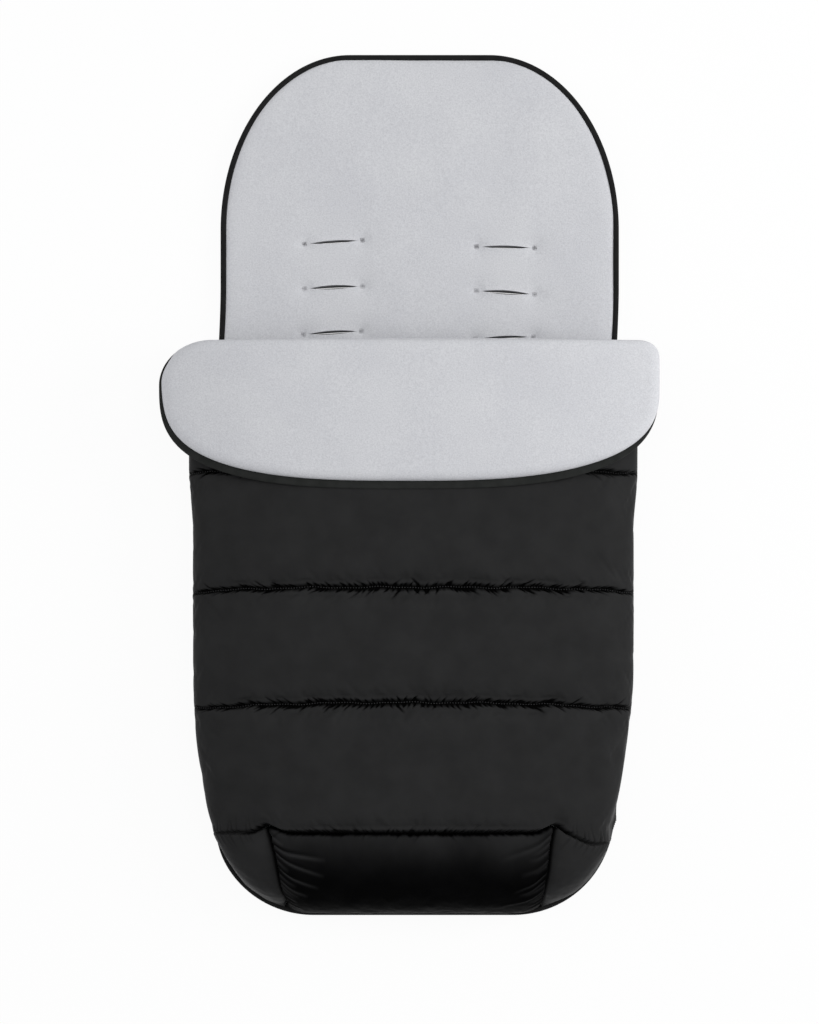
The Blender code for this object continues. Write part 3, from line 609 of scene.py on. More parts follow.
def arch_points(turn, y, depth, edge_z):
    """Points of the arch: turn goes from 0 at its lower edge over 1 at its widest place to 2 at the crown."""
    wall, round_turn = np.clip(turn, 0, 1), np.clip(turn - 1, 0, 1) * math.pi / 2
    reach = reach_at(y)
    wall_z = edge_z + wall * (WIDEST_Z - edge_z)
    rise = np.clip((wall_z - COVER_EDGE_Z) / (WIDEST_Z - COVER_EDGE_Z), 0, 1)
    wall_x = LOW_X + (reach - LOW_X) * np.sin(math.pi / 2 * rise) - depth
    round_x = (reach - depth) * np.abs(np.cos(round_turn)) ** (2 / ARCH_POWER)
    round_z = WIDEST_Z + (CROWN_Z - WIDEST_Z - depth) * np.abs(np.sin(round_turn)) ** (2 / ARCH_POWER)
    on_wall = turn <= 1
    return np.where(on_wall, wall_x, round_x), np.where(on_wall, wall_z, round_z)


def even_turns(edge_z):
    """A function from the share of the way up the half arch to its turn."""
    turns = np.linspace(0, 2, 4001)
    x, z = arch_points(turns, np.full_like(turns, 0.0), 0.0, edge_z)
    x[-1] = 0
    lengths = np.concatenate([[0], np.cumsum(np.hypot(np.diff(x), np.diff(z)))])
    return (lambda share: np.interp(share, lengths / lengths[-1], turns)), lengths[-1]


turn_at, HALF_ARCH = even_turns(COVER_EDGE_Z)
foot_turn_at, FOOT_HALF_ARCH = even_turns(BACK_TOP_Z)
print("half the arch is", round(HALF_ARCH, 3), "m long")


def turn_of(across):
    """The turn of the arch at a place across, from -1 at the left edge to 1 at the right."""
    return turn_at(1 - np.abs(across))


def cover_net(across, y, depth, edge_z=None):
    """Cover points for across from -1 at the left edge to 1 at the right, at y and a depth under the face."""
    turn = turn_of(across)
    x, z = arch_points(turn, y, depth, COVER_EDGE_Z if edge_z is None else edge_z)
    x = np.where(np.abs(across) < 1e-9, 0, x) * np.sign(across + 1e-12)
    return points_from(x + side_pull(x, y, z) + cover_lean(z), y + 0 * x, z)


# %% [markdown]
# ## Where the seams run
#
# The quilting seams are sewn straight across, but on the arch they sag towards the foot at both sides. The
# foot seam has two small peaks where the darts of the foot box pull it up.

# %% The seam lines
SEAM_SAGS = ((0.0056, 0.0140, 2.6), (0.0050, 0.0118, 3.4), (0.0046, 0.0060, 3.4))
# The foot seam: how low it runs, its peaks at the darts, and how far each end sags over which share. The
# places of the peaks are measured along the seam, on a half of it that is SEAM_HALF long.
FOOT_SEAM_DROP, DART_PEAK, DART_PEAK_PLACE, DART_PEAK_REACH, SEAM_HALF = 0.0042, 0.0072, 0.176, 0.013, 0.30
LEFT_SAG, RIGHT_SAG = (0.0060, 0.40), (0.0145, 0.17)
FOLD_END_TUCK = 0.010


def seam_line(number, across):
    """The y of a seam for across from -1 to 1: 0 is the foot seam, 4 the fold."""
    if number == 0:
        peak = bell(np.abs(across * SEAM_HALF) - DART_PEAK_PLACE, DART_PEAK_REACH)
        end_sag, end_share = [np.where(across > 0, right, left) for left, right in zip(LEFT_SAG, RIGHT_SAG)]
        sides = smooth((np.abs(across) - 0.60) / end_share)
        sag = -FOOT_SEAM_DROP + DART_PEAK * peak - end_sag * sides
        return SEAM_YS[0] + sag * smooth(turn_of(across) / 0.6)
    if number == 4:
        return SEAM_YS[4] - FOLD_END_TUCK * smooth(1.6 - 2.4 * np.abs(turn_of(across) - 1))
    rise, sag, power = SEAM_SAGS[number - 1]
    ripple = 0.0007 * np.sin(across * 23 + number * 2.1) + 0.0004 * np.sin(across * 51 + number)
    return SEAM_YS[number] + rise - sag * np.abs(across) ** power + ripple


for number in range(5):
    print("seam", number, "at y", round(float(seam_line(number, np.array(0.0))), 4))

# %% [markdown]
# ## How the quilting pulls the cover in
#
# Between two seams the wadding pushes the cloth out. Right at a seam the thread holds it down, so the cloth
# dives into a narrow valley. Along the sides there is less padding, and the valleys are shallower there.

# %% The depth of the quilting
SEAM_DEPTH = 0.0072
BROAD_DEPTH, BROAD_REACH = 0.0010, 0.034
SIDE_WIDTH, CROWN_WIDTH = 0.0007, 0.0021
SIDE_DEPTH_SHARE = 0.08


def on_crown(turn):
    """0 on the side walls and 1 on the crown."""
    return smooth((turn - 0.98) / 0.38)


def valley_width(turn):
    """Half the width of a seam's valley: broad on the crown, narrow at the sides."""
    return SIDE_WIDTH + (CROWN_WIDTH - SIDE_WIDTH) * on_crown(turn)


def valley_shade(u, distance, turn, seed):
    """The painted shade of a seam's valley, from 0 to 1, with a ragged edge: near black on the valley floor."""
    ragged = 1 + 0.40 * wander(u, 0 * u, 0.005, seed, 2)
    return np.exp(-(distance / (valley_width(turn) * 1.15 * ragged)) ** 4)


def corner_share(across):
    """How strong the foot seam's puckers and their painted shade are: full along the middle panel, faint where it ends
    on the corner pieces.
    """
    return 1 - 0.60 * smooth((np.abs(across) - 0.62) / 0.08)


def quilt_depth(distance, turn):
    """How deep the face lies at a distance from the nearest seam."""
    share = SIDE_DEPTH_SHARE + (1 - SIDE_DEPTH_SHARE) * on_crown(turn)
    broad = np.clip(1 - distance / BROAD_REACH, 0, 1) ** 2.2
    return share * (SEAM_DEPTH * bell(distance, valley_width(turn)) + BROAD_DEPTH * broad)


print("a seam lies", SEAM_DEPTH, "m deep on the crown")

# %% [markdown]
# ## Puffing the cover with cloth simulation
#
# A quilted cover could be modelled as smooth pillows, but real wadding pushes unevenly. So the cover is
# first made as a coarse net, slightly smaller than it should be, held along its seams, and Blender's cloth
# simulation blows it up for twenty frames with a cloth that is a little too large. The movement of each
# point is then capped and carried over, smoothly interpolated, to the fine net that is shown.

# %% Blow up a coarse net
SIM_FRAMES = 20
CLOTH_SETTINGS = {"quality": 5, "mass": 0.2, "tension_stiffness": 15, "compression_stiffness": 15,
                  "shear_stiffness": 6, "bending_stiffness": 0.1, "use_pressure": True,
                  "uniform_pressure_force": 4.0, "shrink_min": -0.010, "shrink_max": -0.010,
                  "vertex_group_mass": "held"}


def simulate_puff(net, held):
    """Runs cloth on a net with held points and returns how far each point moves."""
    rows, columns = net.shape[:2]
    index = np.arange(rows * columns).reshape(rows, columns)
    faces = grid_faces(index).reshape(-1, 4)
    cloth_piece = build_mesh("cover_puff", net.reshape(-1, 3), faces.tolist(), [])
    group = cloth_piece.vertex_groups.new(name="held")
    group.add([int(number) for number in index[held]], 1.0, "REPLACE")
    modifier = cloth_piece.modifiers.new("puff", "CLOTH")
    for label, value in CLOTH_SETTINGS.items():
        setattr(modifier.settings, label, value)
    modifier.settings.effector_weights.gravity = 0
    modifier.point_cache.frame_start = 1
    modifier.point_cache.frame_end = SIM_FRAMES
    for number in range(1, SIM_FRAMES + 1):
        bpy.context.scene.frame_set(number)
    shown = cloth_piece.evaluated_get(bpy.context.evaluated_depsgraph_get())
    moved = np.zeros(rows * columns * 3)
    shown.data.vertices.foreach_get("co", moved)
    mesh = cloth_piece.data
    bpy.data.objects.remove(cloth_piece)
    bpy.data.meshes.remove(mesh)
    bpy.context.scene.frame_set(1)
    return moved.reshape(rows, columns, 3) - net


def cap_movement(movement, cap):
    """Keeps each point's movement under the cap, without a hard stop."""
    length = np.linalg.norm(movement, axis=2, keepdims=True)
    return movement * np.where(length > 1e-9, cap * np.tanh(length / cap) / np.maximum(length, 1e-9), 1)


def cubic_weights(at, count):
    """Weights that read a row of count values at fractional places, smoothly."""
    base = np.clip(np.floor(at).astype(int), 0, count - 2)
    share = at - base
    taps = (-0.5 * share + share ** 2 - 0.5 * share ** 3, 1 - 2.5 * share ** 2 + 1.5 * share ** 3,
            0.5 * share + 2 * share ** 2 - 1.5 * share ** 3, -0.5 * share ** 2 + 0.5 * share ** 3)
    weights = np.zeros((len(at), count))
    for step, tap in zip((-1, 0, 1, 2), taps):
        np.add.at(weights, (np.arange(len(at)), np.clip(base + step, 0, count - 1)), tap)
    return weights


def read_movement(movement, row_at, column_at):
    rows, columns = movement.shape[:2]
    by_row = np.einsum("fr,rck->fck", cubic_weights(row_at, rows), movement)
    return np.einsum("gc,fck->fgk", cubic_weights(column_at, columns), by_row)


print("simulation helpers ready")

# %% Simulate the cover
SIM_ROWS = 26
SIM_COLUMNS = 130
START_DEPTH = 0.0016
PUFF_CAP = 0.0035


def channel_y(number, share, across):
    """The y of a channel's points, share of the way from its lower seam to its upper seam."""
    low, high = seam_line(number, across), seam_line(number + 1, across)
    return low + (high - low) * share


def channel_face(number, shares, across):
    """A channel's outer face, before the padding moves: shares are its rows, across its columns."""
    share, side = np.meshgrid(shares, across, indexing="ij")
    y = channel_y(number, share, side)
    length = channel_y(number, np.ones_like(side), side) - channel_y(number, np.zeros_like(side), side)
    from_seam = share * length if number == 3 else np.minimum(share, 1 - share) * length
    turn = turn_of(side)
    depth = START_DEPTH * smooth(turn) + quilt_depth(from_seam, turn)
    if number == 3:
        depth = np.where(share > 0.5, START_DEPTH * smooth(turn), depth)
    return cover_net(side, y, depth)


sim_across = np.linspace(-1, 1, SIM_COLUMNS + 1)
sim_shares = np.linspace(0, 1, SIM_ROWS + 1)
sim_net = np.concatenate([channel_face(number, sim_shares[:-1], sim_across) for number in range(4)] +
                         [channel_face(3, sim_shares[-1:], sim_across)])
held = np.zeros(sim_net.shape[:2], dtype=bool)
held[::SIM_ROWS] = True
held[:, :2] = held[:, -2:] = True
puff = cap_movement(simulate_puff(sim_net, held), PUFF_CAP)
under_collar = smooth((sim_net[..., 1] - FOLD_Y + 0.150) / 0.012)
crown_share = smooth((turn_of(sim_across) - 0.95) / 0.35)[None, :]
puff *= ((1 - under_collar) * (0.30 + 0.70 * crown_share))[..., None]
print("the cover puffs up by", round(float(np.linalg.norm(puff, axis=2).max()) * 1000, 1), "mm at most")

# %% [markdown]
# ## The four quilted channels
#
# Each channel is one closed pad: a fine outer face, a plain inner face and the edges between them. The rows
# crowd together near the seams, where the cloth bends most. Into that face go the puckers: short creases
# that fan out from the seam on both sides, leaning away from the middle of the cover, as they do when two
# layers feed unevenly under the needle.

# %% Build the channels
FACE_COLUMNS = 1040
INNER_STEP = 8
BODY_DEPTH = 0.0122
# Puckers: the gap from one to the next, the lengths and widths of them, and the depths of grooves and ridges.
PUCKER_GAPS = (0.0028, 0.0074)
SHORT_PUCKERS, LONG_PUCKERS, PUCKER_WIDTHS = (0.0045, 0.0085), (0.010, 0.017), (0.0007, 0.0010)
PUCKER_GROOVES, PUCKER_RIDGES = (0.0016, 0.0034), (0.0004, 0.0008)
LONG_CHANCE, GROOVE_CHANCE = 0.14, 0.85
# A pucker groove this deep gets the full painted shade.
FULL_SHADE_DEPTH = 0.0016


def crowded_rows(length, first=0.0005, growth=1.075, widest=0.0042):
    """Shares from 0 to 1 that crowd at both ends of a length."""
    steps = [first]
    while sum(steps) < length / 2:
        steps.append(min(steps[-1] * growth, widest))
    half = np.concatenate([[0], np.cumsum(steps)])
    half = half / half[-1] / 2
    return np.concatenate([half, 1 - half[-2::-1]])


def seam_puckers(strength=1.0):
    """The creases along one side of a seam, as (u, distance, angle, length, width, height)."""
    creases = []
    u = -HALF_ARCH + 0.012
    while u < HALF_ARCH - 0.012:
        outward = (1 if u > 0 else -1) if abs(u) > 0.03 else rng.choice([-1, 1])
        lean = outward * float(0.92 + 0.16 * smooth((abs(u) - 0.02) / 0.10)) * rng.uniform(0.75, 1.15)
        long_one = rng.random() < LONG_CHANCE
        length = rng.uniform(*(LONG_PUCKERS if long_one else SHORT_PUCKERS))
        height = -rng.uniform(*PUCKER_GROOVES) if rng.random() < GROOVE_CHANCE else rng.uniform(*PUCKER_RIDGES)
        width = rng.uniform(*PUCKER_WIDTHS) * (1.2 if long_one else 1.0)
        creases.append((u, 0.0006, math.pi / 2 - lean, length, width, height * strength))
        u += rng.uniform(*PUCKER_GAPS)
    return creases


def corner_wrinkles():
    """Fine slanting wrinkles where the foot seam ends at both sides."""
    creases = []
    for side in (-1, 1):
        for place in np.linspace(0.66, 0.86, 9):
            u = side * HALF_ARCH * (place + rng.uniform(-0.008, 0.008))
            creases.append((u, 0.001, math.pi / 2 + side * rng.uniform(0.15, 0.55), rng.uniform(0.010, 0.026),
                            rng.uniform(0.0010, 0.0015), -rng.uniform(0.0006, 0.0012)))
    return creases


def broad_puckers():
    """A few wider, shallow hollows that run further into the channel."""
    creases = []
    u = -HALF_ARCH + 0.03
    while u < HALF_ARCH - 0.03:
        lean = (1 if u > 0 else -1) * rng.uniform(0.2, 0.8)
        creases.append((u, 0.001, math.pi / 2 - lean, rng.uniform(0.022, 0.045), rng.uniform(0.003, 0.006),
                        -rng.uniform(0.0002, 0.0005)))
        u += rng.uniform(0.020, 0.050)
    return creases


def fold_round(y):
    """The share of its thickness that the wall keeps where it rounds off towards the fold."""
    into_round = np.clip((y - FOLD_Y + WALL) / WALL, 0, 1)
    return np.sqrt(1 - into_round ** 2)


def body_depth(turn, y, full):
    """How deep a face inside the wall lies: shallow at the lower edge and at the fold."""
    swell = smooth(turn)
    edge = EDGE_WALL - (WALL - full)
    return (edge + (full - edge) * swell) * (0.12 + 0.88 * fold_round(y))


def channel_length(number):
    """How long a channel is at the middle of the cover."""
    low, high = [channel_y(number, np.full(1, end), np.zeros(1)) for end in (0.0, 1.0)]
    return float((high - low)[0])


def build_channel(number, name):
    length = channel_length(number)
    shares = crowded_rows(length)
    across = np.linspace(-1, 1, FACE_COLUMNS + 1)
    face = channel_face(number, shares, across)
    face += read_movement(puff, (number + shares) * SIM_ROWS, (across + 1) / 2 * SIM_COLUMNS)
    normals = net_normals(face)
    share, side = np.meshgrid(shares, across, indexing="ij")
    u = side * HALF_ARCH
    lifts = wander(u, share * length, 0.055, number + 3, 2) * 0.0004
    turn = turn_of(side)
    # Painted shade for the seam valleys, the puckers and the corner wrinkles, kept in an attribute that darkens the
    # cloth colour.
    shade = np.zeros_like(u)
    for at_low_seam, distance in ((True, share * length), (False, (1 - share) * length)):
        if number == 3 and not at_low_seam:
            continue
        at_foot_seam = number == 0 and at_low_seam
        full = corner_share(side) if at_foot_seam else 1.0
        puckers = press_creases(u, distance, seam_puckers(0.45 if at_foot_seam else 1.0)) * full
        if at_foot_seam:
            wrinkles = press_creases(u, distance, corner_wrinkles())
            face += normals * (wrinkles * smooth(distance / 0.003))[..., None]
            shade += 0.30 * np.clip(-wrinkles / 0.0010, 0, 1)
        lifts += puckers + press_creases(u, distance, broad_puckers())
        shade += full * valley_shade(u, distance, turn, number) + np.clip(-puckers / FULL_SHADE_DEPTH, 0, 1) ** 1.3
    ease = smooth(np.minimum(share, 1 - share) * length / 0.0030) * smooth((1 - np.abs(side)) / 0.03)
    lifts *= 0.18 + 0.82 * smooth((turn - 0.95) / 0.30)
    face += normals * (lifts * ease)[..., None]
    if number == 3:
        face[..., 2] = np.minimum(face[..., 2], CROWN_Z)
    inner_share, inner_side = np.meshgrid(shares, across[::INNER_STEP], indexing="ij")
    inner_y = channel_y(number, inner_share, inner_side)
    inner = cover_net(inner_side, inner_y, body_depth(turn_of(inner_side), inner_y, BODY_DEPTH))
    piece = closed_pad(name, face, inner, puffer)
    set_share(piece, "painted_crease_shade", shade)
    return piece, face


CHANNEL_NAMES = ("shin_channel", "knee_channel", "thigh_channel", "chest_channel")
channels, channel_faces = zip(*[build_channel(number, name) for number, name in enumerate(CHANNEL_NAMES)])

# %% [markdown]
# ## The fleece inside the cover
#
# The cover's lining is the same grey fleece. It follows the inside of the arch, and the quilting seams pull
# shallow valleys into it from the outside. At the fold it rolls up over the edge of the wall to meet the
# collar, so the opening shows soft fleece all round.

# %% Build the cover's lining
LINING_THICKNESS = 0.002
LINING_COLUMNS = 160
LINING_SPAN = 0.985
LINING_DIP = 0.0022
lining_across = np.linspace(-LINING_SPAN, LINING_SPAN, LINING_COLUMNS + 1)


def lining_rows():
    """The rows as (channel, share of its length): crowded at the seams, and round the wall's end at the fold."""
    rows = [(number, share) for number in range(4) for share in crowded_rows(0.12, 0.002, 1.25)[:-1]]
    last = [(3, 1 - WALL / channel_length(3) * math.cos(angle)) for angle in np.linspace(0, math.pi / 2, 12)]
    return [row for row in rows if row[0] < 3 or row[1] < last[0][1] - 0.01] + last


def lining_face(depth):
    """The lining at a depth inside the wall, drawn in along the quilting seams."""
    turn = turn_of(lining_across)
    net = []
    for number, share in lining_rows():
        low, y, high = [channel_y(number, np.full_like(lining_across, place), lining_across)
                        for place in (0.0, share, 1.0)]
        from_seam = np.minimum(np.abs(y - low), 1 if number == 3 else np.abs(high - y))
        dip = LINING_DIP * np.exp(-from_seam / 0.008) * smooth(turn)
        net.append(cover_net(lining_across, y, np.maximum(body_depth(turn, y, depth) - dip, 0.0002)))
    return np.array(net)


lining_inner, lining_outer = lining_face(WALL), lining_face(WALL - LINING_THICKNESS)
lining_inner += net_normals(lining_inner) * (wander(*arc_lengths(lining_inner), 0.04, 21) * 0.0004)[..., None]
cover_fleece = closed_pad("cover_fleece", lining_inner, lining_outer, fleece)

# %% [markdown]
# ## The foot box
#
# At the foot the footmuff closes in a rounded box, sewn from a wide middle panel and two corner pieces with
# a dart seam between them. Its face runs in a quarter of an ellipse from the foot seam down to the edge of
# the back. The middle panel is a glossier cloth that shows its folds: they fan out from both darts.

# %% The shape of the foot box
FOOT_COLUMNS = 800
FOOT_FALL = 0.135
# How much of the band the foot box hides, and how much more of it between the darts.
BAND_HIDDEN, BAND_HIDDEN_MORE = 0.0022, 0.0020
shares_up = np.linspace(0, 1, 2001)
foot_reach = arch_points(foot_turn_at(shares_up), np.full(2001, FOOT_SEAM_Y), 0.0, BACK_TOP_Z)[0]
CORNER_SHARE = 1 - float(np.interp(DART_TOP_X, foot_reach[:400:-1], shares_up[:400:-1]))
foot_dart_turn = math.acos((DART_FOOT_X - BACK_HALF + FOOT_CORNER[0]) / FOOT_CORNER[0])


def foot_edge(up, inset):
    """Where the foot box meets the back, for a share up the half arch of its top edge."""
    shown_band = BINDING_WIDTH - BAND_HIDDEN - BAND_HIDDEN_MORE * smooth((up - 1 + CORNER_SHARE) / 0.10)
    inset = inset + shown_band * smooth(up / 0.12)
    width, length = FOOT_CORNER[0] - inset, FOOT_CORNER[1] - inset
    centre = BACK_HALF - FOOT_CORNER[0]
    corner = 1 - CORNER_SHARE
    turn = foot_dart_turn * (0.10 + 0.90 * np.clip(up / corner, 0, 1))
    dart_x = centre + width * math.cos(foot_dart_turn)
    middle_x = dart_x * np.clip((1 - up) / (1 - corner), 0, 1)
    bend = np.clip((middle_x - centre) / width, 0, 1)
    x = np.where(up <= corner, centre + width * np.cos(turn), middle_x)
    y = FOOT_SEAM_Y - length * np.where(up <= corner, np.sin(turn), np.sqrt(1 - bend ** 2))
    return x, y


def foot_net(across, down, depth):
    """Foot box points: across from -1 to 1, down from 0 at the foot seam to 1 at the back panel."""
    up = 1 - np.abs(across)
    top_turn = foot_turn_at(up)
    seam_y = seam_line(0, np.clip(across * FOOT_HALF_ARCH / HALF_ARCH, -1, 1))
    top_x, top_z = arch_points(top_turn, np.full_like(across, FOOT_SEAM_Y), depth, BACK_TOP_Z)
    edge_x, edge_y = foot_edge(up, BACK_HALF - LOW_X + depth)
    swing = down * math.pi / 2
    x = top_x + (edge_x - top_x) * np.sin(swing)
    y = seam_y + (edge_y - seam_y) * np.sin(swing)
    z = BACK_TOP_Z + (top_z - BACK_TOP_Z) * np.cos(swing)
    x = np.where(up >= 1 - 1e-9, 0, x) * np.sign(across + 1e-12)
    sway = back_lean(y) + (cover_lean(z) - back_lean(y)) * smooth((z - BACK_TOP_Z) / 0.05)
    return points_from(x + side_pull(x, y, z) + sway, y, z)


print("the darts divide the foot box at", round(CORNER_SHARE, 3), "of half its width")

# %% [markdown]
# ## Sewing the three foot pieces
#
# The three pieces share one net, so that their seams fit. The dart is a groove with a narrow bottom. The
# folds of the middle panel start on the darts, run inwards and downwards, and flatten out before the middle.

# %% Build the foot pieces
FOOT_PUFF, FOOT_BULGE, FOOT_BODY_DEPTH = 0.002, 0.0035, 0.0124
DART_DEPTH, DART_BROAD_DEPTH = 0.0046, 0.0030
FOLD_GAPS, FOLD_WIDTHS, FOLD_DEPTHS = (0.0062, 0.0098), (0.0017, 0.0029), (0.0018, 0.0032)
SHORT_FOLDS, LONG_FOLDS = (0.018, 0.034), (0.040, 0.070)


def dart_distance(side):
    """How far a place across lies from the nearest dart."""
    return np.abs(np.abs(side) - CORNER_SHARE) * FOOT_HALF_ARCH


def foot_face(across, down):
    """The outer face of the foot box with its seams, without folds."""
    side, fall = np.meshgrid(across, down, indexing="xy")
    turn = foot_turn_at(1 - np.abs(side))
    seam = quilt_depth(fall * FOOT_FALL, turn)
    from_dart = dart_distance(side)
    dart = (DART_DEPTH * np.exp(-np.maximum(from_dart - 0.0005, 0) / 0.0026) +
            DART_BROAD_DEPTH * np.clip(1 - from_dart / 0.030, 0, 1) ** 2) * smooth((1 - fall) / 0.10)
    bulge = FOOT_BULGE * np.sin(np.clip(fall, 0, 1) * math.pi) ** 2 * smooth((CORNER_SHARE - np.abs(side)) / 0.2)
    base = START_DEPTH * smooth(turn) + (FOOT_PUFF - START_DEPTH * smooth(turn)) * smooth(fall / 0.4)
    swell = 0.85 * smooth((np.abs(side) - CORNER_SHARE) / 0.15) * smooth(fall / 0.12)
    base = base * smooth((1 - fall) / 0.30) * (1 - swell)
    return foot_net(side, fall, base + np.maximum(seam, dart) + 0.25 * np.minimum(seam, dart) - bulge)


def dart_folds():
    """The folds of the middle panel, as creases over (u, v): u from the middle plane, v from the seam."""
    creases = []
    dart_u = CORNER_SHARE * FOOT_HALF_ARCH
    for side in (-1, 1):
        v = 0.005
        while v < 0.098:
            down = 0.14 + 0.08 * (v / 0.1) + rng.uniform(-0.12, 0.16)
            angle = math.pi / 2 + side * (math.pi / 2 - down)
            long_one = rng.random() < 0.55 and v < 0.075
            length = rng.uniform(*(LONG_FOLDS if long_one else SHORT_FOLDS))
            height = -rng.uniform(*FOLD_DEPTHS) * (1 if long_one else 0.8)
            creases.append((side * (dart_u - 0.001), v, angle, length, rng.uniform(*FOLD_WIDTHS), height))
            v += rng.uniform(*FOLD_GAPS)
    return creases


def build_foot_piece(name, first, last, material, folds, seed):
    """One sewn piece between two places across. The middle panel has folds, the corner pieces have wrinkles."""
    columns = int(round((last - first) * FOOT_COLUMNS / 2 / INNER_STEP)) * INNER_STEP
    across = np.linspace(first, last, columns + 1)
    down = crowded_rows(FOOT_FALL, 0.0006, 1.10, 0.0017)
    face = foot_face(across, down)
    side, fall = np.meshgrid(across, down, indexing="xy")
    u, v = side * FOOT_HALF_ARCH, fall * FOOT_FALL
    puckers = press_creases(u, v, seam_puckers(0.3)) * corner_share(side)
    pressed = press_creases(u, v, folds or corner_wrinkles())
    lifts = wander(u, v, 0.03, seed, 3) * 0.0009 + pressed + puckers
    from_dart = dart_distance(side)
    dart_width = 0.0030 - 0.0012 * fall
    # Painted shade along the foot seam, the darts, the puckers and the fold grooves.
    shade = valley_shade(u, v, foot_turn_at(1 - np.abs(side)), seed) * corner_share(side)
    shade += np.exp(-(from_dart / dart_width) ** 4) * smooth((1 - fall) / 0.06)
    shade += np.clip(-puckers / FULL_SHADE_DEPTH, 0, 1) + 0.9 * np.clip(-pressed / 0.0026, 0, 1)
    ease = smooth(v / 0.0025) * smooth((1 - fall) / 0.12)
    for end in (first, last):
        if abs(end) < 0.999:
            ease = ease * smooth(np.abs(side - end) * FOOT_HALF_ARCH / 0.003)
    face += net_normals(face) * (lifts * ease)[..., None]
    inner_side, inner_fall = np.meshgrid(across[::INNER_STEP], down, indexing="xy")
    piece = closed_pad(name, face, foot_net(inner_side, inner_fall, FOOT_BODY_DEPTH), material)
    set_share(piece, "painted_crease_shade", shade)
    if folds:
        # Painted highlights on the middle panel: a band along its top by the seam, and a strip on the ridge beside each
        # fold, stronger on the left.
        ridges = np.clip(-press_creases(u, v - 0.0032, folds) / 0.0024, 0, 1) * (0.95 - 0.35 * np.sign(u))
        uneven = 0.85 + 0.35 * wander(u, v, 0.05, seed + 9, 3)
        highlighted = 0.62 * bell(v, 0.026) * uneven + ridges
        set_share(piece, "painted_highlight", highlighted * smooth(from_dart / 0.006))
    return piece, face


foot_front, foot_front_face = build_foot_piece("foot_front", -CORNER_SHARE, CORNER_SHARE, foot_cloth,
                                               dart_folds(), 31)
left_foot_side, _ = build_foot_piece("left_foot_side", -1.0, -CORNER_SHARE, puffer, [], 32)
right_foot_side, _ = build_foot_piece("right_foot_side", CORNER_SHARE, 1.0, puffer, [], 33)
foot_sides, foot_falls = np.meshgrid(np.linspace(-1, 1, 121), np.linspace(0, 1, 31), indexing="xy")
foot_fleece = closed_pad("foot_fleece", *[foot_net(foot_sides, foot_falls, depth)
                                          for depth in (WALL, WALL - LINING_THICKNESS)], fleece)

# %% [markdown]
# ## The back
#
# The back is a flat pad: fleece above, wadding in the middle and a plain cloth below, with slits for the
# buggy's harness. Each slit is really cut through: the net is split along the slit's line and its two lips
# are pulled apart, the way cloth opens, which also bends the rows of the net around it. The fleece rises a
# little round each slit and dips where the bar tacks hold it down.

# %% Places of the slits
SLIT_HALF, LOWER_SLIT_HALF = 0.0262, 0.0225
SHOULDER_X = 0.095
SHOULDER_YS = (0.2654, 0.2154, 0.1654)
WAIST_X, WAIST_Y, CROTCH_Y = 0.115, -0.020, -0.075
SLIT_ASKEW = -0.030
SLIT_GAPES, LOWER_SLIT_GAPE = (0.0034, 0.0046, 0.0042), 0.003
SLIT_TILTS = {-1: (0.065, 0.043, 0.062), 1: (-0.022, -0.065, 0.040)}
TACK_GAP = 0.0058
ROW_STEP, WIDE_ROW_STEP, FINE_FROM_Y = 0.002, 0.004, 0.146
BINDING_TUCK = 0.0008

# Each slit is its middle's x and y, half its length, whether it is upright, its gape and its tilt.
slits = [(side * SHOULDER_X, y + side * SHOULDER_X * SLIT_ASKEW, SLIT_HALF, False, gape, tilt)
         for side in (-1, 1) for y, gape, tilt in zip(SHOULDER_YS, SLIT_GAPES, SLIT_TILTS[side])]
slits += [(side * WAIST_X, WAIST_Y, LOWER_SLIT_HALF, True, LOWER_SLIT_GAPE, 0.0) for side in (-1, 1)]
slits += [(0.0, CROTCH_Y, LOWER_SLIT_HALF, False, LOWER_SLIT_GAPE, 0.0)]
print(len(slits), "harness slits")


# %% The net of the back
def rounded_half(half, corner, past):
    """What a round corner leaves of half the width, past its start by a share of the corner's length."""
    return half - corner * (1 - np.sqrt(1 - np.clip(past, 0, 1) ** 2))


def back_half_at(y, inset):
    """Half the width of the back at y, drawn in by an inset."""
    half = BACK_HALF - inset
    head_start = HEAD_Y - HEAD_CORNER[1]
    return np.minimum(rounded_half(half, HEAD_CORNER[0] - inset, (y - head_start) / (HEAD_CORNER[1] - inset)),
                      rounded_half(half, FOOT_CORNER[0] - inset, (FOOT_SEAM_Y - y) / (FOOT_CORNER[1] - inset)))


def back_rows(inset):
    """The y of the rows: fine where the shoulder slits are, crowded at the round ends."""
    foot_end, head_end, head_start = FOOT_Y + inset, HEAD_Y - inset, HEAD_Y - HEAD_CORNER[1]
    foot = FOOT_SEAM_Y + np.sin(np.linspace(-math.pi / 2, 0, 26)) * (FOOT_SEAM_Y - foot_end)
    head = head_start + np.sin(np.linspace(0, math.pi / 2, 40)) * (head_end - head_start)
    middle = np.arange(foot[-1] + WIDE_ROW_STEP, FINE_FROM_Y, WIDE_ROW_STEP)
    fine = np.arange(FINE_FROM_Y, head_start - 0.001, ROW_STEP)
    return np.concatenate([foot, middle, fine, head])


def along_and_aside(slit, x, y):
    """The distances along a slit and beside it, both from its middle."""
    offset_x, offset_y = x - slit[0], y - slit[1]
    return (offset_y, offset_x) if slit[3] else (offset_x, offset_y)


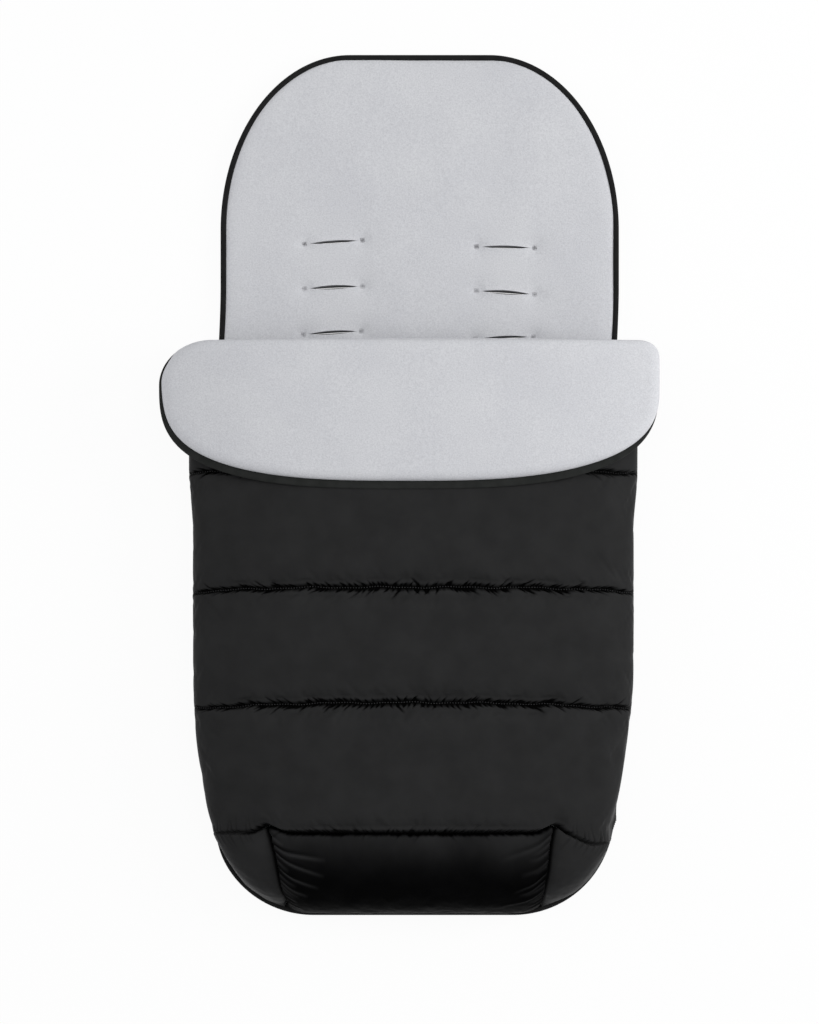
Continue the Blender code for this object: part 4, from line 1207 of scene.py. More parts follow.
def cut_grid(rows, columns_x):
    """The faces of a grid with every slit cut open, and for each point its row, column and side of the cut."""
    row_count, column_count = len(rows), len(columns_x)
    index = np.arange(row_count * column_count).reshape(row_count, column_count)
    quads = grid_faces(index)
    row_of, column_of = [list(values.ravel()) for values in np.meshgrid(range(row_count), range(column_count),
                                                                        indexing="ij")]
    cuts = {}
    for number, (x, y, half, turned, gape, tilt) in enumerate(slits):
        row, column = int(np.argmin(np.abs(rows - y))), int(np.argmin(np.abs(columns_x - x)))
        inside = ([(place, column) for place in range(row_count) if abs(rows[place] - y) < half] if turned else
                  [(row, place) for place in range(column_count) if abs(columns_x[place] - x) < half])
        for place in inside:
            copy = len(row_of)
            row_of.append(place[0])
            column_of.append(place[1])
            cuts[int(index[place])] = (number, -1)
            cuts[copy] = (number, 1)
            block = (quads[max(place[0] - 1, 0):place[0] + 1, place[1]] if turned else
                     quads[place[0], place[1] - 1:place[1] + 1])
            block[block == index[place]] = copy
    return quads.reshape(-1, 4), np.array(row_of), np.array(column_of), cuts


def pull_slits_open(x, y, cuts, gape_share):
    """Moves the points round each slit so that it gapes like a lens."""
    moved_x, moved_y = x.copy(), y.copy()
    for number, slit in enumerate(slits):
        half, turned, gape, tilt = slit[2:]
        along, aside = along_and_aside(slit, x, y)
        side = np.sign(aside)
        on_line = np.zeros(len(x), dtype=bool)
        for point, (cut, lip) in cuts.items():
            if cut == number:
                side[point] = lip
                on_line[point] = True
        opening = gape_share * gape / 2 * np.clip(1 - (along / half) ** 2, 0, 1)
        push = side * opening * np.exp(-np.where(on_line, 0, np.abs(aside)) / 0.007)
        straighten = np.where(on_line, -aside, 0)
        past_end = np.maximum(np.abs(along) - half - TACK_GAP, 0)
        straighten += tilt * along * np.exp(-(np.where(on_line, 0, aside) / 0.012) ** 2 - (past_end / 0.010) ** 2)
        moved = moved_x if turned else moved_y
        moved += push + straighten
    return moved_x, moved_y


def thick_sheet(name, top, bottom, faces, materials, uv):
    """A closed sheet: its two sides share their faces, and walls close its outer edge and its slits."""
    count = len(top)
    faces = [tuple(int(corner) for corner in face) for face in faces]
    used = dict.fromkeys(edge for face in faces for edge in zip(face, face[1:] + face[:1]))
    rim = [edge for edge in used if (edge[1], edge[0]) not in used]
    every = faces + [tuple(corner + count for corner in face[::-1]) for face in faces]
    every += [(end, start, start + count, end + count) for start, end in rim]
    points = np.concatenate([top, bottom])
    print(f"{name}: {len(points)} points, {len(rim)} edges round its rims")
    return build_mesh(name, points, turn_outwards(points, every), materials, np.concatenate([uv, uv]), 50)


print("back: half width", round(float(back_half_at(np.array(0.0), 0)), 3), "m")

# %% Build the back pad and its underside
BACK_COLUMNS = 143
PAD_CROWN, PAD_EDGE_DIP, SLIT_RISE = 0.0004, 0.0024, 0.0008
# The hollows round a bar tack: how deep and how wide each is.
TACK_HOLLOWS = ((0.0017, 0.0065), (0.0016, 0.016))
PAD_LOW, UNDERSIDE_TOP, UNDERSIDE_LOW = 0.0018, 0.0016, 0.0010


def tack_places():
    """The middles of the bar tacks, one at each end of each slit."""
    places = []
    for x, y, half, turned, gape, tilt in slits:
        for end in (-1, 1):
            reach = end * (half + TACK_GAP)
            places.append((x, y + reach) if turned else (x + reach, y + tilt * reach))
    return places


def build_back_sheet(name, inset, materials, side_heights, gape_share):
    """A sheet with the back's outline and slits. Its upper side has the last of the materials."""
    rows = back_rows(inset)
    columns_u = np.linspace(-1, 1, BACK_COLUMNS)
    widest = float(back_half_at(np.array(0.0), inset))
    faces, row_of, column_of, cuts = cut_grid(rows, columns_u * widest)
    y = rows[row_of]
    half = back_half_at(y, inset)
    x = columns_u[column_of] * half
    edge = np.minimum(half - np.abs(x), np.minimum(HEAD_Y - inset - y, y - FOOT_Y - inset))
    x, y = pull_slits_open(x, y, cuts, gape_share)
    top_z, bottom_z = side_heights(x, y, edge)
    x = x + back_lean(y)
    sheet = thick_sheet(name, points_from(x, y, top_z), points_from(x, y, bottom_z), faces, materials,
                        points_from(x, y))
    sheet.data.polygons.foreach_set("material_index", [(len(materials) - 1) * (number < len(faces))
                                                       for number in range(len(sheet.data.polygons))])
    return sheet


def pad_heights(x, y, edge):
    height = BACK_TOP_Z + PAD_CROWN - PAD_EDGE_DIP * np.exp(-edge / 0.0045)
    height += wander(x, y, 0.11, 5, 2) * 0.0011 + wander(x, y, 0.030, 6, 2) * 0.00022
    for tack_x, tack_y in tack_places():
        away = np.hypot(x - tack_x, y - tack_y)
        height -= sum(depth * bell(away, width) for depth, width in TACK_HOLLOWS)
    for slit in slits:
        along, aside = along_and_aside(slit, x, y)
        height += SLIT_RISE * bell(aside - slit[5] * along, 0.004) * np.clip(1 - (along / slit[2]) ** 2, 0, 1)
    height = np.where(np.abs(x) > 0.205, np.minimum(height, BACK_TOP_Z), height)
    return height, np.full_like(height, BACK_LOW_Z + PAD_LOW)


def underside_heights(x, y, edge):
    height = BACK_LOW_Z + 0.0002 * (1 + wander(x, y, 0.05, 8, 2))
    return np.full_like(height, BACK_LOW_Z + UNDERSIDE_TOP), np.minimum(height, BACK_LOW_Z + UNDERSIDE_LOW)


under_inset = BINDING_WIDTH - BINDING_TUCK
back_pad = build_back_sheet("back_pad", under_inset, [fleece], pad_heights, 1.0)
back_underside = build_back_sheet("back_underside", under_inset, [puffer, inner_cloth], underside_heights, 0.15)

# %% [markdown]
# ## Geometry Nodes for tape, thread and stitches
#
# Binding follows the edge of a panel, thread follows a seam, and stitches repeat along it. Each of these is
# a small Geometry Nodes tree whose sizes are named inputs. A piece starts as bare edges along its path. The
# tree turns them into a curve, and either sweeps a profile along it or sets copies on it. The result is then
# made a plain mesh, so that nothing but faces is left in the finished piece.

# %% Tree helpers
def start_tree(name, sizes):
    """A new tree with named sizes as inputs, and the outputs in it that hand on the geometry and the sizes."""
    tree = bpy.data.node_groups.new(name, "GeometryNodeTree")
    tree.interface.new_socket("Geometry", in_out="INPUT", socket_type="NodeSocketGeometry")
    for label, value in sizes.items():
        socket = tree.interface.new_socket(label, in_out="INPUT", socket_type="NodeSocketFloat")
        socket.default_value = value
    tree.interface.new_socket("Geometry", in_out="OUTPUT", socket_type="NodeSocketGeometry")
    return tree, add_node(tree, "NodeGroupInput").outputs


def finish_tree(tree, geometry, material, smooth_faces=True):
    """Realizes what the tree made, smooths it and gives it its material."""
    real = add_node(tree, "GeometryNodeRealizeInstances", Geometry=geometry)
    shaded = add_node(tree, "GeometryNodeSetShadeSmooth", Geometry=real.outputs["Geometry"],
                      Shade_Smooth=smooth_faces)
    finish = add_node(tree, "GeometryNodeSetMaterial", Geometry=shaded.outputs["Geometry"], Material=material)
    add_node(tree, "NodeGroupOutput", Geometry=finish.outputs["Geometry"])
    return tree


def curve_of(tree, given):
    """The path that was laid as bare edges, as a curve."""
    return add_node(tree, "GeometryNodeMeshToCurve", Mesh=given["Geometry"]).outputs["Curve"]


def pitch_points(tree, given):
    """Points along the path, one in each pitch."""
    spread = add_node(tree, "GeometryNodeResampleCurve", {"mode": "LENGTH"}, Curve=curve_of(tree, given),
                      Length=given["Pitch"])
    return spread.outputs["Curve"]


def vector_of(tree, **parts):
    return add_node(tree, "ShaderNodeCombineXYZ", **parts).outputs["Vector"]


def set_copies(tree, points, shape, **more):
    """Copies of a shape at points."""
    return add_node(tree, "GeometryNodeInstanceOnPoints", Points=points, Instance=shape, **more).outputs["Instances"]


def sweep(tree, curve, profile):
    return add_node(tree, "GeometryNodeCurveToMesh", Curve=curve, Profile_Curve=profile,
                    Fill_Caps=True).outputs["Mesh"]


def run_tree(name, paths, tree, values, closed=False):
    """Lays bare edges along paths, runs the tree on them and keeps the result as a plain mesh."""
    points, edges = [], []
    for path in paths:
        start = len(points)
        points += [tuple(float(value) for value in point) for point in path]
        edges += [(start + step, start + step + 1) for step in range(len(path) - 1)]
        if closed:
            edges.append((start + len(path) - 1, start))
    outline = bpy.data.meshes.new(name + "_path")
    outline.from_pydata(points, edges, [])
    source = new_object(name + "_path", outline)
    modifier = source.modifiers.new("nodes", "NODES")
    modifier.node_group = tree
    for item in tree.interface.items_tree:
        if item.in_out == "INPUT" and item.name in values:
            modifier[item.identifier] = float(values[item.name])
    graph = bpy.context.evaluated_depsgraph_get()
    mesh = bpy.data.meshes.new_from_object(source.evaluated_get(graph))
    mesh.name = name
    bpy.data.objects.remove(source)
    bpy.data.meshes.remove(outline)
    print(f"{name}: {len(mesh.polygons)} faces from {len(paths)} paths")
    return new_object(name, mesh)


def sweep_tree(name, material, sizes):
    """Sweeps an upright rounded rectangle along the path."""
    tree, given = start_tree(name, sizes)
    upright = add_node(tree, "GeometryNodeSetCurveNormal", {"mode": "Z_UP"}, Curve=curve_of(tree, given))
    profile = add_node(tree, "GeometryNodeCurvePrimitiveQuadrilateral", Width=given["Width"],
                       Height=given["Height"])
    corners = add_node(tree, "GeometryNodeFilletCurve", {"mode": "POLY"}, Curve=profile.outputs["Curve"], Count=4,
                       Radius=given["Rounding"])
    return finish_tree(tree, sweep(tree, upright.outputs["Curve"], corners.outputs["Curve"]), material)


def stitch_tree(name, material, sizes):
    """Sets short rounded stitches along the path, one in each pitch."""
    tree, given = start_tree(name, sizes)
    bead = add_node(tree, "GeometryNodeMeshUVSphere", Segments=6, Rings=4, Radius=0.5)
    size = vector_of(tree, X=given["Stitch length"], Y=given["Thread width"], Z=given["Thread width"])
    stitch = add_node(tree, "GeometryNodeTransform", Geometry=bead.outputs["Mesh"], Scale=size)
    tangent = add_node(tree, "GeometryNodeInputTangent")
    aim = add_node(tree, "FunctionNodeAlignRotationToVector", {"axis": "X"}, Vector=tangent.outputs["Tangent"])
    copies = set_copies(tree, pitch_points(tree, given), stitch.outputs["Geometry"],
                        Rotation=aim.outputs["Rotation"])
    return finish_tree(tree, copies, material)


def thread_tree(name, material, sizes):
    """Sweeps a round thread along the path."""
    tree, given = start_tree(name, sizes)
    profile = add_node(tree, "GeometryNodeCurvePrimitiveCircle", Resolution=6, Radius=given["Thread radius"])
    return finish_tree(tree, sweep(tree, curve_of(tree, given), profile.outputs["Curve"]), material)


print("node trees for tape, stitches and thread ready")

# %% [markdown]
# ## The binding of the back
#
# A black bias tape wraps the edge of the back all round. It is one rounded section swept along the outline,
# so a sweep is the plainest way to make it, and its width and height are the tree's inputs.

# %% Bind the back
ARC_STEPS = 48


def back_outline(inset):
    """The back's outline as points, from the foot round to the foot again."""
    right = []
    for start, corner, direction in ((FOOT_SEAM_Y, FOOT_CORNER, -1), (HEAD_Y - HEAD_CORNER[1], HEAD_CORNER, 1)):
        arc = [(BACK_HALF - corner[0] + (corner[0] - inset) * math.cos(turn),
                start + direction * (corner[1] - inset) * math.sin(turn))
               for turn in np.linspace(0, math.pi / 2, ARC_STEPS)]
        right += arc[::-1] if direction < 0 else arc
    straight = [(BACK_HALF - inset, y) for y in np.linspace(FOOT_SEAM_Y, HEAD_Y - HEAD_CORNER[1], 60)[1:-1]]
    right = right[:ARC_STEPS] + straight + right[ARC_STEPS:]
    middle_head = [(x, HEAD_Y - inset) for x in np.linspace(BACK_HALF - HEAD_CORNER[0], 0, 8)[1:]]
    middle_foot = [(x, FOOT_Y + inset) for x in np.linspace(0, BACK_HALF - FOOT_CORNER[0], 8)[:-1]]
    half = middle_foot + right + middle_head
    loop = half + [(-x, y) for x, y in half[-2:0:-1]]
    return [(x + float(back_lean(y)), y) for x, y in loop]


BINDING_HEIGHT = BACK_TOP_Z - BACK_LOW_Z
binding_tree = sweep_tree("binding_sweep", binding_cloth, {"Width": 0.006, "Height": 0.013, "Rounding": 0.002})
binding_path = [(x, y, BACK_LOW_Z + BINDING_HEIGHT / 2) for x, y in back_outline(BINDING_WIDTH / 2)]
panel_binding = run_tree("panel_binding", [binding_path], binding_tree,
                         {"Width": BINDING_WIDTH, "Height": BINDING_HEIGHT, "Rounding": 0.0026}, closed=True)

# %% [markdown]
# ## The fleece edge of the opening
#
# Where cover and collar meet, the fleece runs on round the edge of the wall. From the head end that edge is
# what one looks at, so it gets a soft roll of its own. Its section is a full half round that reaches from the
# lining's face to the outer cloth, and the section is as thick as the wall is at each place of the arch.

# %% Roll the fleece over the edge
ROLL_BACK, ROLL_BULGE = 0.0030, 0.0046
ROLL_CORE_BULGE, ROLL_CORE_MARGIN = -0.0010, 0.0008
ROLL_LOWER_DEPTH = 0.0004


def roll_face(bulge, margin):
    """A net round the end of the wall, from the lining over the edge to the outer cloth."""
    across = np.linspace(-LINING_SPAN, LINING_SPAN, 241)
    turn = turn_of(across)
    start_y = seam_line(4, across) - ROLL_BACK
    low = body_depth(turn, start_y, WALL) - margin
    high = margin + ROLL_LOWER_DEPTH * (1 - smooth((turn - 1.1) / 0.4))
    rows = []
    for angle in np.linspace(0, math.pi, 17):
        depth = (low + high) / 2 + (low - high) / 2 * math.cos(angle)
        rows.append(cover_net(across, start_y + bulge * max(math.sin(angle), 0) ** 0.5, depth))
    return np.array(rows)


fold_roll = closed_pad("fold_roll", roll_face(ROLL_BULGE, 0.0), roll_face(ROLL_CORE_BULGE, ROLL_CORE_MARGIN), fleece)

# %% [markdown]
# ## Stitches
#
# The quilting thread shows as a row of small beads at the bottom of each valley, about three millimetres
# apart, and so does the thread of the foot seam and of the darts. The slits end in bar tacks: a little square
# of dense stitching in grey thread.

# %% Sew the seams
STITCH = {"Pitch": 0.0029, "Stitch length": 0.0016, "Thread width": 0.0013}
QUILTING_LIFT, FOOT_SEAM_LIFT, DART_LIFT = 0.0012, -0.0006, 0.0003
SEAM_TRIM, DART_TRIM = 6, 8
seam_stitch = stitch_tree("seam_stitches", black_thread, STITCH)


def lifted(path, lift, trim_end=SEAM_TRIM):
    """A path along points of a net without its ends, lifted off the cloth."""
    return path[SEAM_TRIM:-trim_end] + (0, 0, lift)


quilting_stitches = run_tree("quilting_stitches", [lifted(face[0], QUILTING_LIFT) for face in channel_faces[1:]],
                             seam_stitch, STITCH)
foot_seam_stitches = run_tree("foot_seam_stitches", [lifted(channel_faces[0][0], FOOT_SEAM_LIFT)], seam_stitch, STITCH)
dart_stitches = run_tree("dart_stitches", [lifted(foot_front_face[:, end], DART_LIFT, DART_TRIM) for end in (0, -1)],
                         seam_stitch, STITCH)

# %% Sew the bar tacks
TACK = 0.0050
TACK_ZIGZAGS = 7
TACK_THREAD = {"Thread radius": 0.00032}


def tack_path(x, y, z):
    """A square of thread with a zigzag inside it."""
    half = TACK / 2
    path = [(x + side_x * half, y + side_y * half) for side_x, side_y in ((-1, -1), (1, -1), (1, 1), (-1, 1), (-1, -1))]
    for step in range(TACK_ZIGZAGS + 1):
        across = -half + TACK * step / TACK_ZIGZAGS
        path.append((x + across, y + (half if step % 2 else -half) * 0.9))
    return [(px + float(back_lean(py)), py, z) for px, py in path]


def pad_height(x, y):
    """The height of the back pad's upper face at x, y."""
    hit, place, _, _ = back_pad.ray_cast(Vector((x, y, 1.0)), Vector((0, 0, -1)))
    return place.z if hit else BACK_TOP_Z


tack_thread = thread_tree("tack_thread", grey_thread, TACK_THREAD)
tack_paths = [tack_path(x, y, pad_height(x + float(back_lean(y)), y) + 0.0002) for x, y in tack_places()]
bar_tacks = run_tree("bar_tacks", tack_paths, tack_thread, TACK_THREAD)

# %% [markdown]
# ## The collar flap
#
# The top of the cover folds down over itself as a plump fleece collar. It isn't quite even: its left
# shoulder slopes more and hangs lower than its right one. Its outline is two superellipses a side, one over
# the shoulder and one under it. A patch between four pieces of that outline gives an even net, and the
# distance of each point from the outline says how far the pad has rolled up to its full height.

# %% Draw the collar's outline
COLLAR_X, COLLAR_HALF, COLLAR_DEPTH = -0.0085, 0.2688, 0.1595
COLLAR_THICKNESS = 0.013
COLLAR_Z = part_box("flap_lining")[1][2] - COLLAR_THICKNESS
COLLAR_DROOP_POWER = 3.2
FLEECE_INSET_BELOW, UNDER_INSET = 0.0086, 0.0092
COLLAR_SIDES = {"left": {"sign": -1, "shoulder": 0.0480, "rise": 0.0480, "corner": 0.0575, "power": 2.0,
                         "lower": 2.95, "droop": 0.030, "tuck": 0.0022, "tuck_end": 0.020},
                "right": {"sign": 1, "shoulder": 0.0470, "rise": 0.0180, "corner": 0.0235, "power": 2.2,
                          "lower": 2.85, "droop": 0.023, "tuck": -0.0004, "tuck_end": 0.062}}


def side_outline(side):
    """The outline of one side from the fold to the middle of the free edge, as x and reach from the fold."""
    turns = np.linspace(0, math.pi / 2, 140)
    upper_x = COLLAR_HALF - side["corner"] * (1 - np.sin(turns) ** (2 / side["power"]))
    upper_reach = side["rise"] * (1 - np.cos(turns) ** (2 / side["power"]))
    lower_x = COLLAR_HALF * np.cos(turns) ** (2 / side["lower"])
    lower_reach = side["shoulder"] + (COLLAR_DEPTH - side["shoulder"]) * np.sin(turns) ** (2 / side["lower"])
    x = np.concatenate([[upper_x[0]], upper_x, lower_x[1:]])
    reach = np.concatenate([[0], upper_reach, lower_reach[1:]])
    return points_from(COLLAR_X + side["sign"] * x, reach)


def even_path(path, count):
    """The same path with evenly spaced points."""
    lengths = np.concatenate([[0], np.cumsum(np.linalg.norm(np.diff(path, axis=0), axis=1))])
    places = np.linspace(0, lengths[-1], count)
    return points_from(*[np.interp(places, lengths, path[:, axis]) for axis in range(path.shape[1])])


def inset_by(width):
    """The same inset all along the outline."""
    return lambda x, reach: np.full_like(x, width)


def collar_outline(edge_inset, count=900):
    """The whole outline, drawn in by an inset, from the left end of the fold round to its right end."""
    left, right = side_outline(COLLAR_SIDES["left"]), side_outline(COLLAR_SIDES["right"])
    path = even_path(np.concatenate([left, right[-2::-1]]), count)
    along = np.gradient(path, axis=0)
    along /= np.linalg.norm(along, axis=1, keepdims=True)
    inward = points_from(along[:, 1], -along[:, 0])
    moved = path + inward * edge_inset(path[:, 0], path[:, 1])[:, None]
    moved[:, 1] = np.maximum(moved[:, 1], 0)
    return moved


def side_value(x, label):
    """A value of the side of the collar that x is on."""
    return np.where(x < COLLAR_X, COLLAR_SIDES["left"][label], COLLAR_SIDES["right"][label])


def fleece_inset(x, reach):
    """How far inside the outline the fleece ends: it covers the band at the sides and shows it below."""
    tuck, tuck_end = side_value(x, "tuck") * smooth((reach - 0.010) / 0.015), side_value(x, "tuck_end")
    return tuck + (FLEECE_INSET_BELOW - tuck) * smooth((reach - tuck_end) / (COLLAR_DEPTH - 0.006 - tuck_end))


def collar_under(x):
    """The height of the collar's underside, which droops over the sides of the cover."""
    droop = side_value(x, "droop") * np.abs((x - COLLAR_X) / COLLAR_HALF) ** COLLAR_DROOP_POWER
    return COLLAR_Z + 0.0001 - droop


edge_x = collar_outline(inset_by(0.0))[:, 0]
print("collar at z", round(COLLAR_Z, 4), "from x", round(float(edge_x.min()), 3), "to", round(float(edge_x.max()), 3))

# %% Build the collar pad and its underside
COLLAR_WALL, COLLAR_EDGE_WALL, COLLAR_ROLL = 0.0128, 0.0046, 0.0115
FINEST_STEP, STEP_GROWTH, NET_SPACING = 0.0005, 1.35, 0.0024
PATCH_CORNER = 0.30
# How thick the band and the underside are, which the pad lies on.
UNDER_ROOM, BAND_ROOM = 0.0016, 0.0019
BATCH = 2000


def crowded_shares(length):
    """Shares from 0 to 1, close together at both ends."""
    steps, step = [0.0], FINEST_STEP
    while steps[-1] < length / 2 and step < NET_SPACING:
        steps.append(steps[-1] + step)
        step *= STEP_GROWTH
    rest = length - 2 * steps[-1]
    middle = np.linspace(steps[-1], length - steps[-1], max(int(rest / NET_SPACING), 2) + 1)[1:-1]
    return np.concatenate([steps, middle, [length - step for step in steps[::-1]]]) / length


def patch(outline, shares_across, shares_down):
    """A net that fills an outline whose open side is the fold."""
    count = len(outline)
    left_corner, right_corner = int(count * PATCH_CORNER), count - 1 - int(count * PATCH_CORNER)

    def pick(path, shares):
        even = even_path(path, 400)
        return points_from(*[np.interp(shares * 399, np.arange(400), even[:, axis]) for axis in range(2)])

    top = outline[0] + shares_across[:, None] * (outline[-1] - outline[0])
    bottom = pick(outline[left_corner:right_corner + 1], shares_across)
    left = pick(outline[:left_corner + 1], shares_down)
    right = pick(outline[right_corner:][::-1], shares_down)
    a, b = shares_across[None, :, None], shares_down[:, None, None]
    return ((1 - b) * top[None] + b * bottom[None] + (1 - a) * left[:, None] + a * right[:, None]
            - (1 - a) * (1 - b) * top[0] - a * (1 - b) * top[-1] - (1 - a) * b * bottom[0] - a * b * bottom[-1])


def distance_to(outline, net):
    """How far each point of a net lies from an outline, closed along the fold."""
    fold = outline[-1] + np.linspace(0, 1, 500)[1:-1, None] * (outline[0] - outline[-1])
    edge = np.concatenate([outline, fold])
    flat, away = net.reshape(-1, 2), []
    for first in range(0, len(flat), BATCH):
        part = flat[first:first + BATCH]
        nearest = ((part[:, None] - edge[None]) ** 2).sum(axis=2).argmin(axis=1)
        offset = part - edge[nearest]
        spans = []
        for step in (-1, 1):
            along = edge[(nearest + step) % len(edge)] - edge[nearest]
            share = np.clip((offset * along).sum(axis=1) / np.maximum((along ** 2).sum(axis=1), 1e-12), 0, 1)
            spans.append(np.linalg.norm(offset - share[:, None] * along, axis=1))
        away.append(np.minimum(*spans))
    return np.concatenate(away).reshape(net.shape[:2])


def rolled(distance, radius):
    """The height of a round edge, from 0 at the edge to 1 from a radius inwards."""
    return np.sqrt(np.clip(1 - (1 - np.clip(distance / radius, 0, 1)) ** 2, 0, 1))


collar_columns = crowded_shares(2 * COLLAR_HALF)
extra = (-(len(collar_columns) - 1)) % 4
collar_columns = np.interp(np.linspace(0, len(collar_columns) - 1, len(collar_columns) + extra),
                           np.arange(len(collar_columns)), collar_columns)
collar_rows = crowded_shares(COLLAR_DEPTH)
pad_outline = collar_outline(fleece_inset)
pad_net = patch(pad_outline, collar_columns, collar_rows)
pad_distance = distance_to(pad_outline, pad_net)
pad_x, pad_y = pad_net[..., 0], FOLD_Y - pad_net[..., 1]
pad_roll = rolled(pad_distance, COLLAR_ROLL)
pad_top = collar_under(pad_x) + COLLAR_EDGE_WALL + (COLLAR_WALL - COLLAR_EDGE_WALL) * pad_roll
pad_top += pad_roll * (wander(pad_x, pad_y, 0.12, 21, 2) * 0.0010 - 0.0006)
band_room = UNDER_ROOM + BAND_ROOM * (1 - smooth((pad_distance - 0.0090) / 0.006))
from_fold = smooth((pad_net[..., 1] - 0.003) / 0.008)
fold_edge = (COLLAR_EDGE_WALL - 0.0008) * (1 - rolled(pad_distance, 0.004))
pad_bottom = collar_under(pad_x) + 0.0001 + fold_edge + (band_room - fold_edge) * from_fold
collar_pad = closed_pad("collar_pad", points_from(pad_x, pad_y, pad_top), points_from(pad_x, pad_y, pad_bottom)[:, ::4],
                        fleece)

under_outline = collar_outline(inset_by(UNDER_INSET))
under_outline[:, 1] = np.maximum(under_outline[:, 1], 0.004)
under_net = patch(under_outline, collar_columns[::2], collar_rows[::2])
under_x, under_y = under_net[..., 0], FOLD_Y - under_net[..., 1]
under_z = collar_under(under_x)
collar_underside = closed_pad("collar_underside", points_from(under_x, under_y, under_z + 0.0013),
                              points_from(under_x, under_y, under_z), puffer)

# %% Bind the collar
COLLAR_BAND = {"Width": 0.0090, "Height": 0.0032, "Rounding": 0.0014}
band_tree = sweep_tree("collar_band_sweep", collar_band_cloth, COLLAR_BAND)
band_path = collar_outline(inset_by(COLLAR_BAND["Width"] / 2), count=420)[2:-2]
band_points = [(x, FOLD_Y - reach, float(collar_under(np.array(x))) + COLLAR_BAND["Height"] / 2)
               for x, reach in band_path if reach > 0.012]
collar_band = run_tree("collar_band", [band_points], band_tree, COLLAR_BAND)

# %% [markdown]
# ## The side zips
#
# A zip runs up each side, hidden under the edge of the cover. Each half is a woven tape that stands on edge,
# with moulded teeth along its rim. The teeth of the two halves stand in each other's gaps. One tree sets a
# tooth in each pitch, and the upper half is the same tree turned over and moved on by half a pitch.

# %% Make the zips
TOOTH = {"Pitch": 0.0024, "Tooth length": 0.00105, "Tooth width": 0.0024, "Tooth height": 0.0042}
TAPE_WALL, BEAD_SHARE = 0.0009, 1.7
# From a tape's rim: where its cloth ends in the teeth, and where the middle of the teeth is.
RIM, CLOTH_END, TEETH_MIDDLE = 0.0028, 0.0012, 0.0021
tape_x = (tape_low[0] + tape_high[0]) / 2
tooth_low_z, tooth_high_z = back_tape_high[2] - RIM, tape_low[2] + RIM
teeth_end_y = tape_high[1] - 0.0068


def teeth_tree(name, material, sizes):
    """Sets a tooth in each pitch: a narrow root with a wider head above it."""
    tree, given = start_tree(name, {**sizes, "Turned": 1.0})
    joined = add_node(tree, "GeometryNodeJoinGeometry")
    for width_share, length_share, height_share, rise in ((1.0, 0.72, 0.62, -0.19), (0.8, 1.0, 0.40, 0.30)):
        size = vector_of(tree, X=maths(tree, "MULTIPLY", given["Tooth width"], width_share),
                         Y=maths(tree, "MULTIPLY", given["Tooth length"], length_share),
                         Z=maths(tree, "MULTIPLY", given["Tooth height"], height_share))
        lift = maths(tree, "MULTIPLY", maths(tree, "MULTIPLY", given["Tooth height"], rise), given["Turned"])
        block = add_node(tree, "GeometryNodeMeshCube", Size=size)
        place = add_node(tree, "GeometryNodeTransform", Geometry=block.outputs["Mesh"],
                         Translation=vector_of(tree, Z=lift))
        feed(tree, place.outputs["Geometry"], joined.inputs["Geometry"])
    copies = set_copies(tree, pitch_points(tree, given), joined.outputs["Geometry"])
    return finish_tree(tree, copies, material, smooth_faces=False)


zip_tree = teeth_tree("zip_teeth", zip_teeth_plastic, TOOTH)


def zip_half(name, side, low_z, high_z, teeth_z, turned):
    """A tape with its selvedge bead, and its row of teeth."""
    y_places = np.linspace(tape_low[1], tape_high[1], 173)
    section = [(-0.5, 0), (-0.5, 0.55), (-0.5, 0.9), (0.5, 0.9), (0.5, 0.55), (0.5, 0)]
    points = []
    for y in y_places:
        ripple = 0.00015 * math.sin(y * 210 + side)
        for across, share in section:
            wall = TAPE_WALL * (BEAD_SHARE if share > 0.6 else 1.0)
            height = share / 0.9 if turned > 0 else 1 - share / 0.9
            points.append((side * (tape_x + across * wall + ripple * (1 - share)), y,
                           low_z + (high_z - low_z) * height))
    points = np.array(points)
    count = len(section)
    faces = [(row * count + turn, row * count + (turn + 1) % count,
              (row + 1) * count + (turn + 1) % count, (row + 1) * count + turn)
             for row in range(len(y_places) - 1) for turn in range(count)]
    last = (len(y_places) - 1) * count
    faces += [(0, 1, 4, 5), (1, 2, 3, 4)]
    faces += [(last + 5, last + 4, last + 1, last), (last + 4, last + 3, last + 2, last + 1)]
    if side < 0:
        faces = [face[::-1] for face in faces]
    tape = build_mesh(name + "_tape", points, turn_outwards(points, faces), [zip_cloth], points[:, 1:], 30)
    first = tape_low[1] + 0.008 + (0 if turned > 0 else TOOTH["Pitch"] / 2)
    teeth_path = [(side * tape_x, y, teeth_z) for y in np.linspace(first, teeth_end_y, 60)]
    teeth = run_tree(name + "_teeth", [teeth_path], zip_tree, {**TOOTH, "Turned": turned})
    return tape, teeth


zip_halves = {}
for side_name, side in (("right", 1), ("left", -1)):
    for half_name, low_z, high_z, teeth_z, turned in (
        ("_back_zip", back_tape_low[2], tooth_low_z + CLOTH_END, tooth_low_z + TEETH_MIDDLE, 1.0),
        ("_cover_zip", tooth_high_z - CLOTH_END, tape_high[2], tooth_high_z - TEETH_MIDDLE, -1.0),
    ):
        name = side_name + half_name
        zip_halves[name] = zip_half(name, side, low_z, high_z, teeth_z, turned)
print("teeth from z", round(tooth_low_z, 4), "to", round(tooth_high_z, 4))

# %% [markdown]
# ## The grip panels
#
# Two panels of anti-slip cloth lie under the back, so that it doesn't slide on a seat. Rubber dots are
# printed on them in staggered rows. The panel itself is a thin rounded sheet, and a tree sets the dots on
# two grids, one moved half a pitch from the other.

# %% Make the grip panels
DOTS = {"Width": 0.2, "Length": 0.1, "Pitch": 0.0078, "Dot radius": 0.0016, "Dot height": 0.0005}
GRIP_CORNER, GRIP_MARGIN = 0.020, 0.014
DOT_TOP_SHARE = 0.6


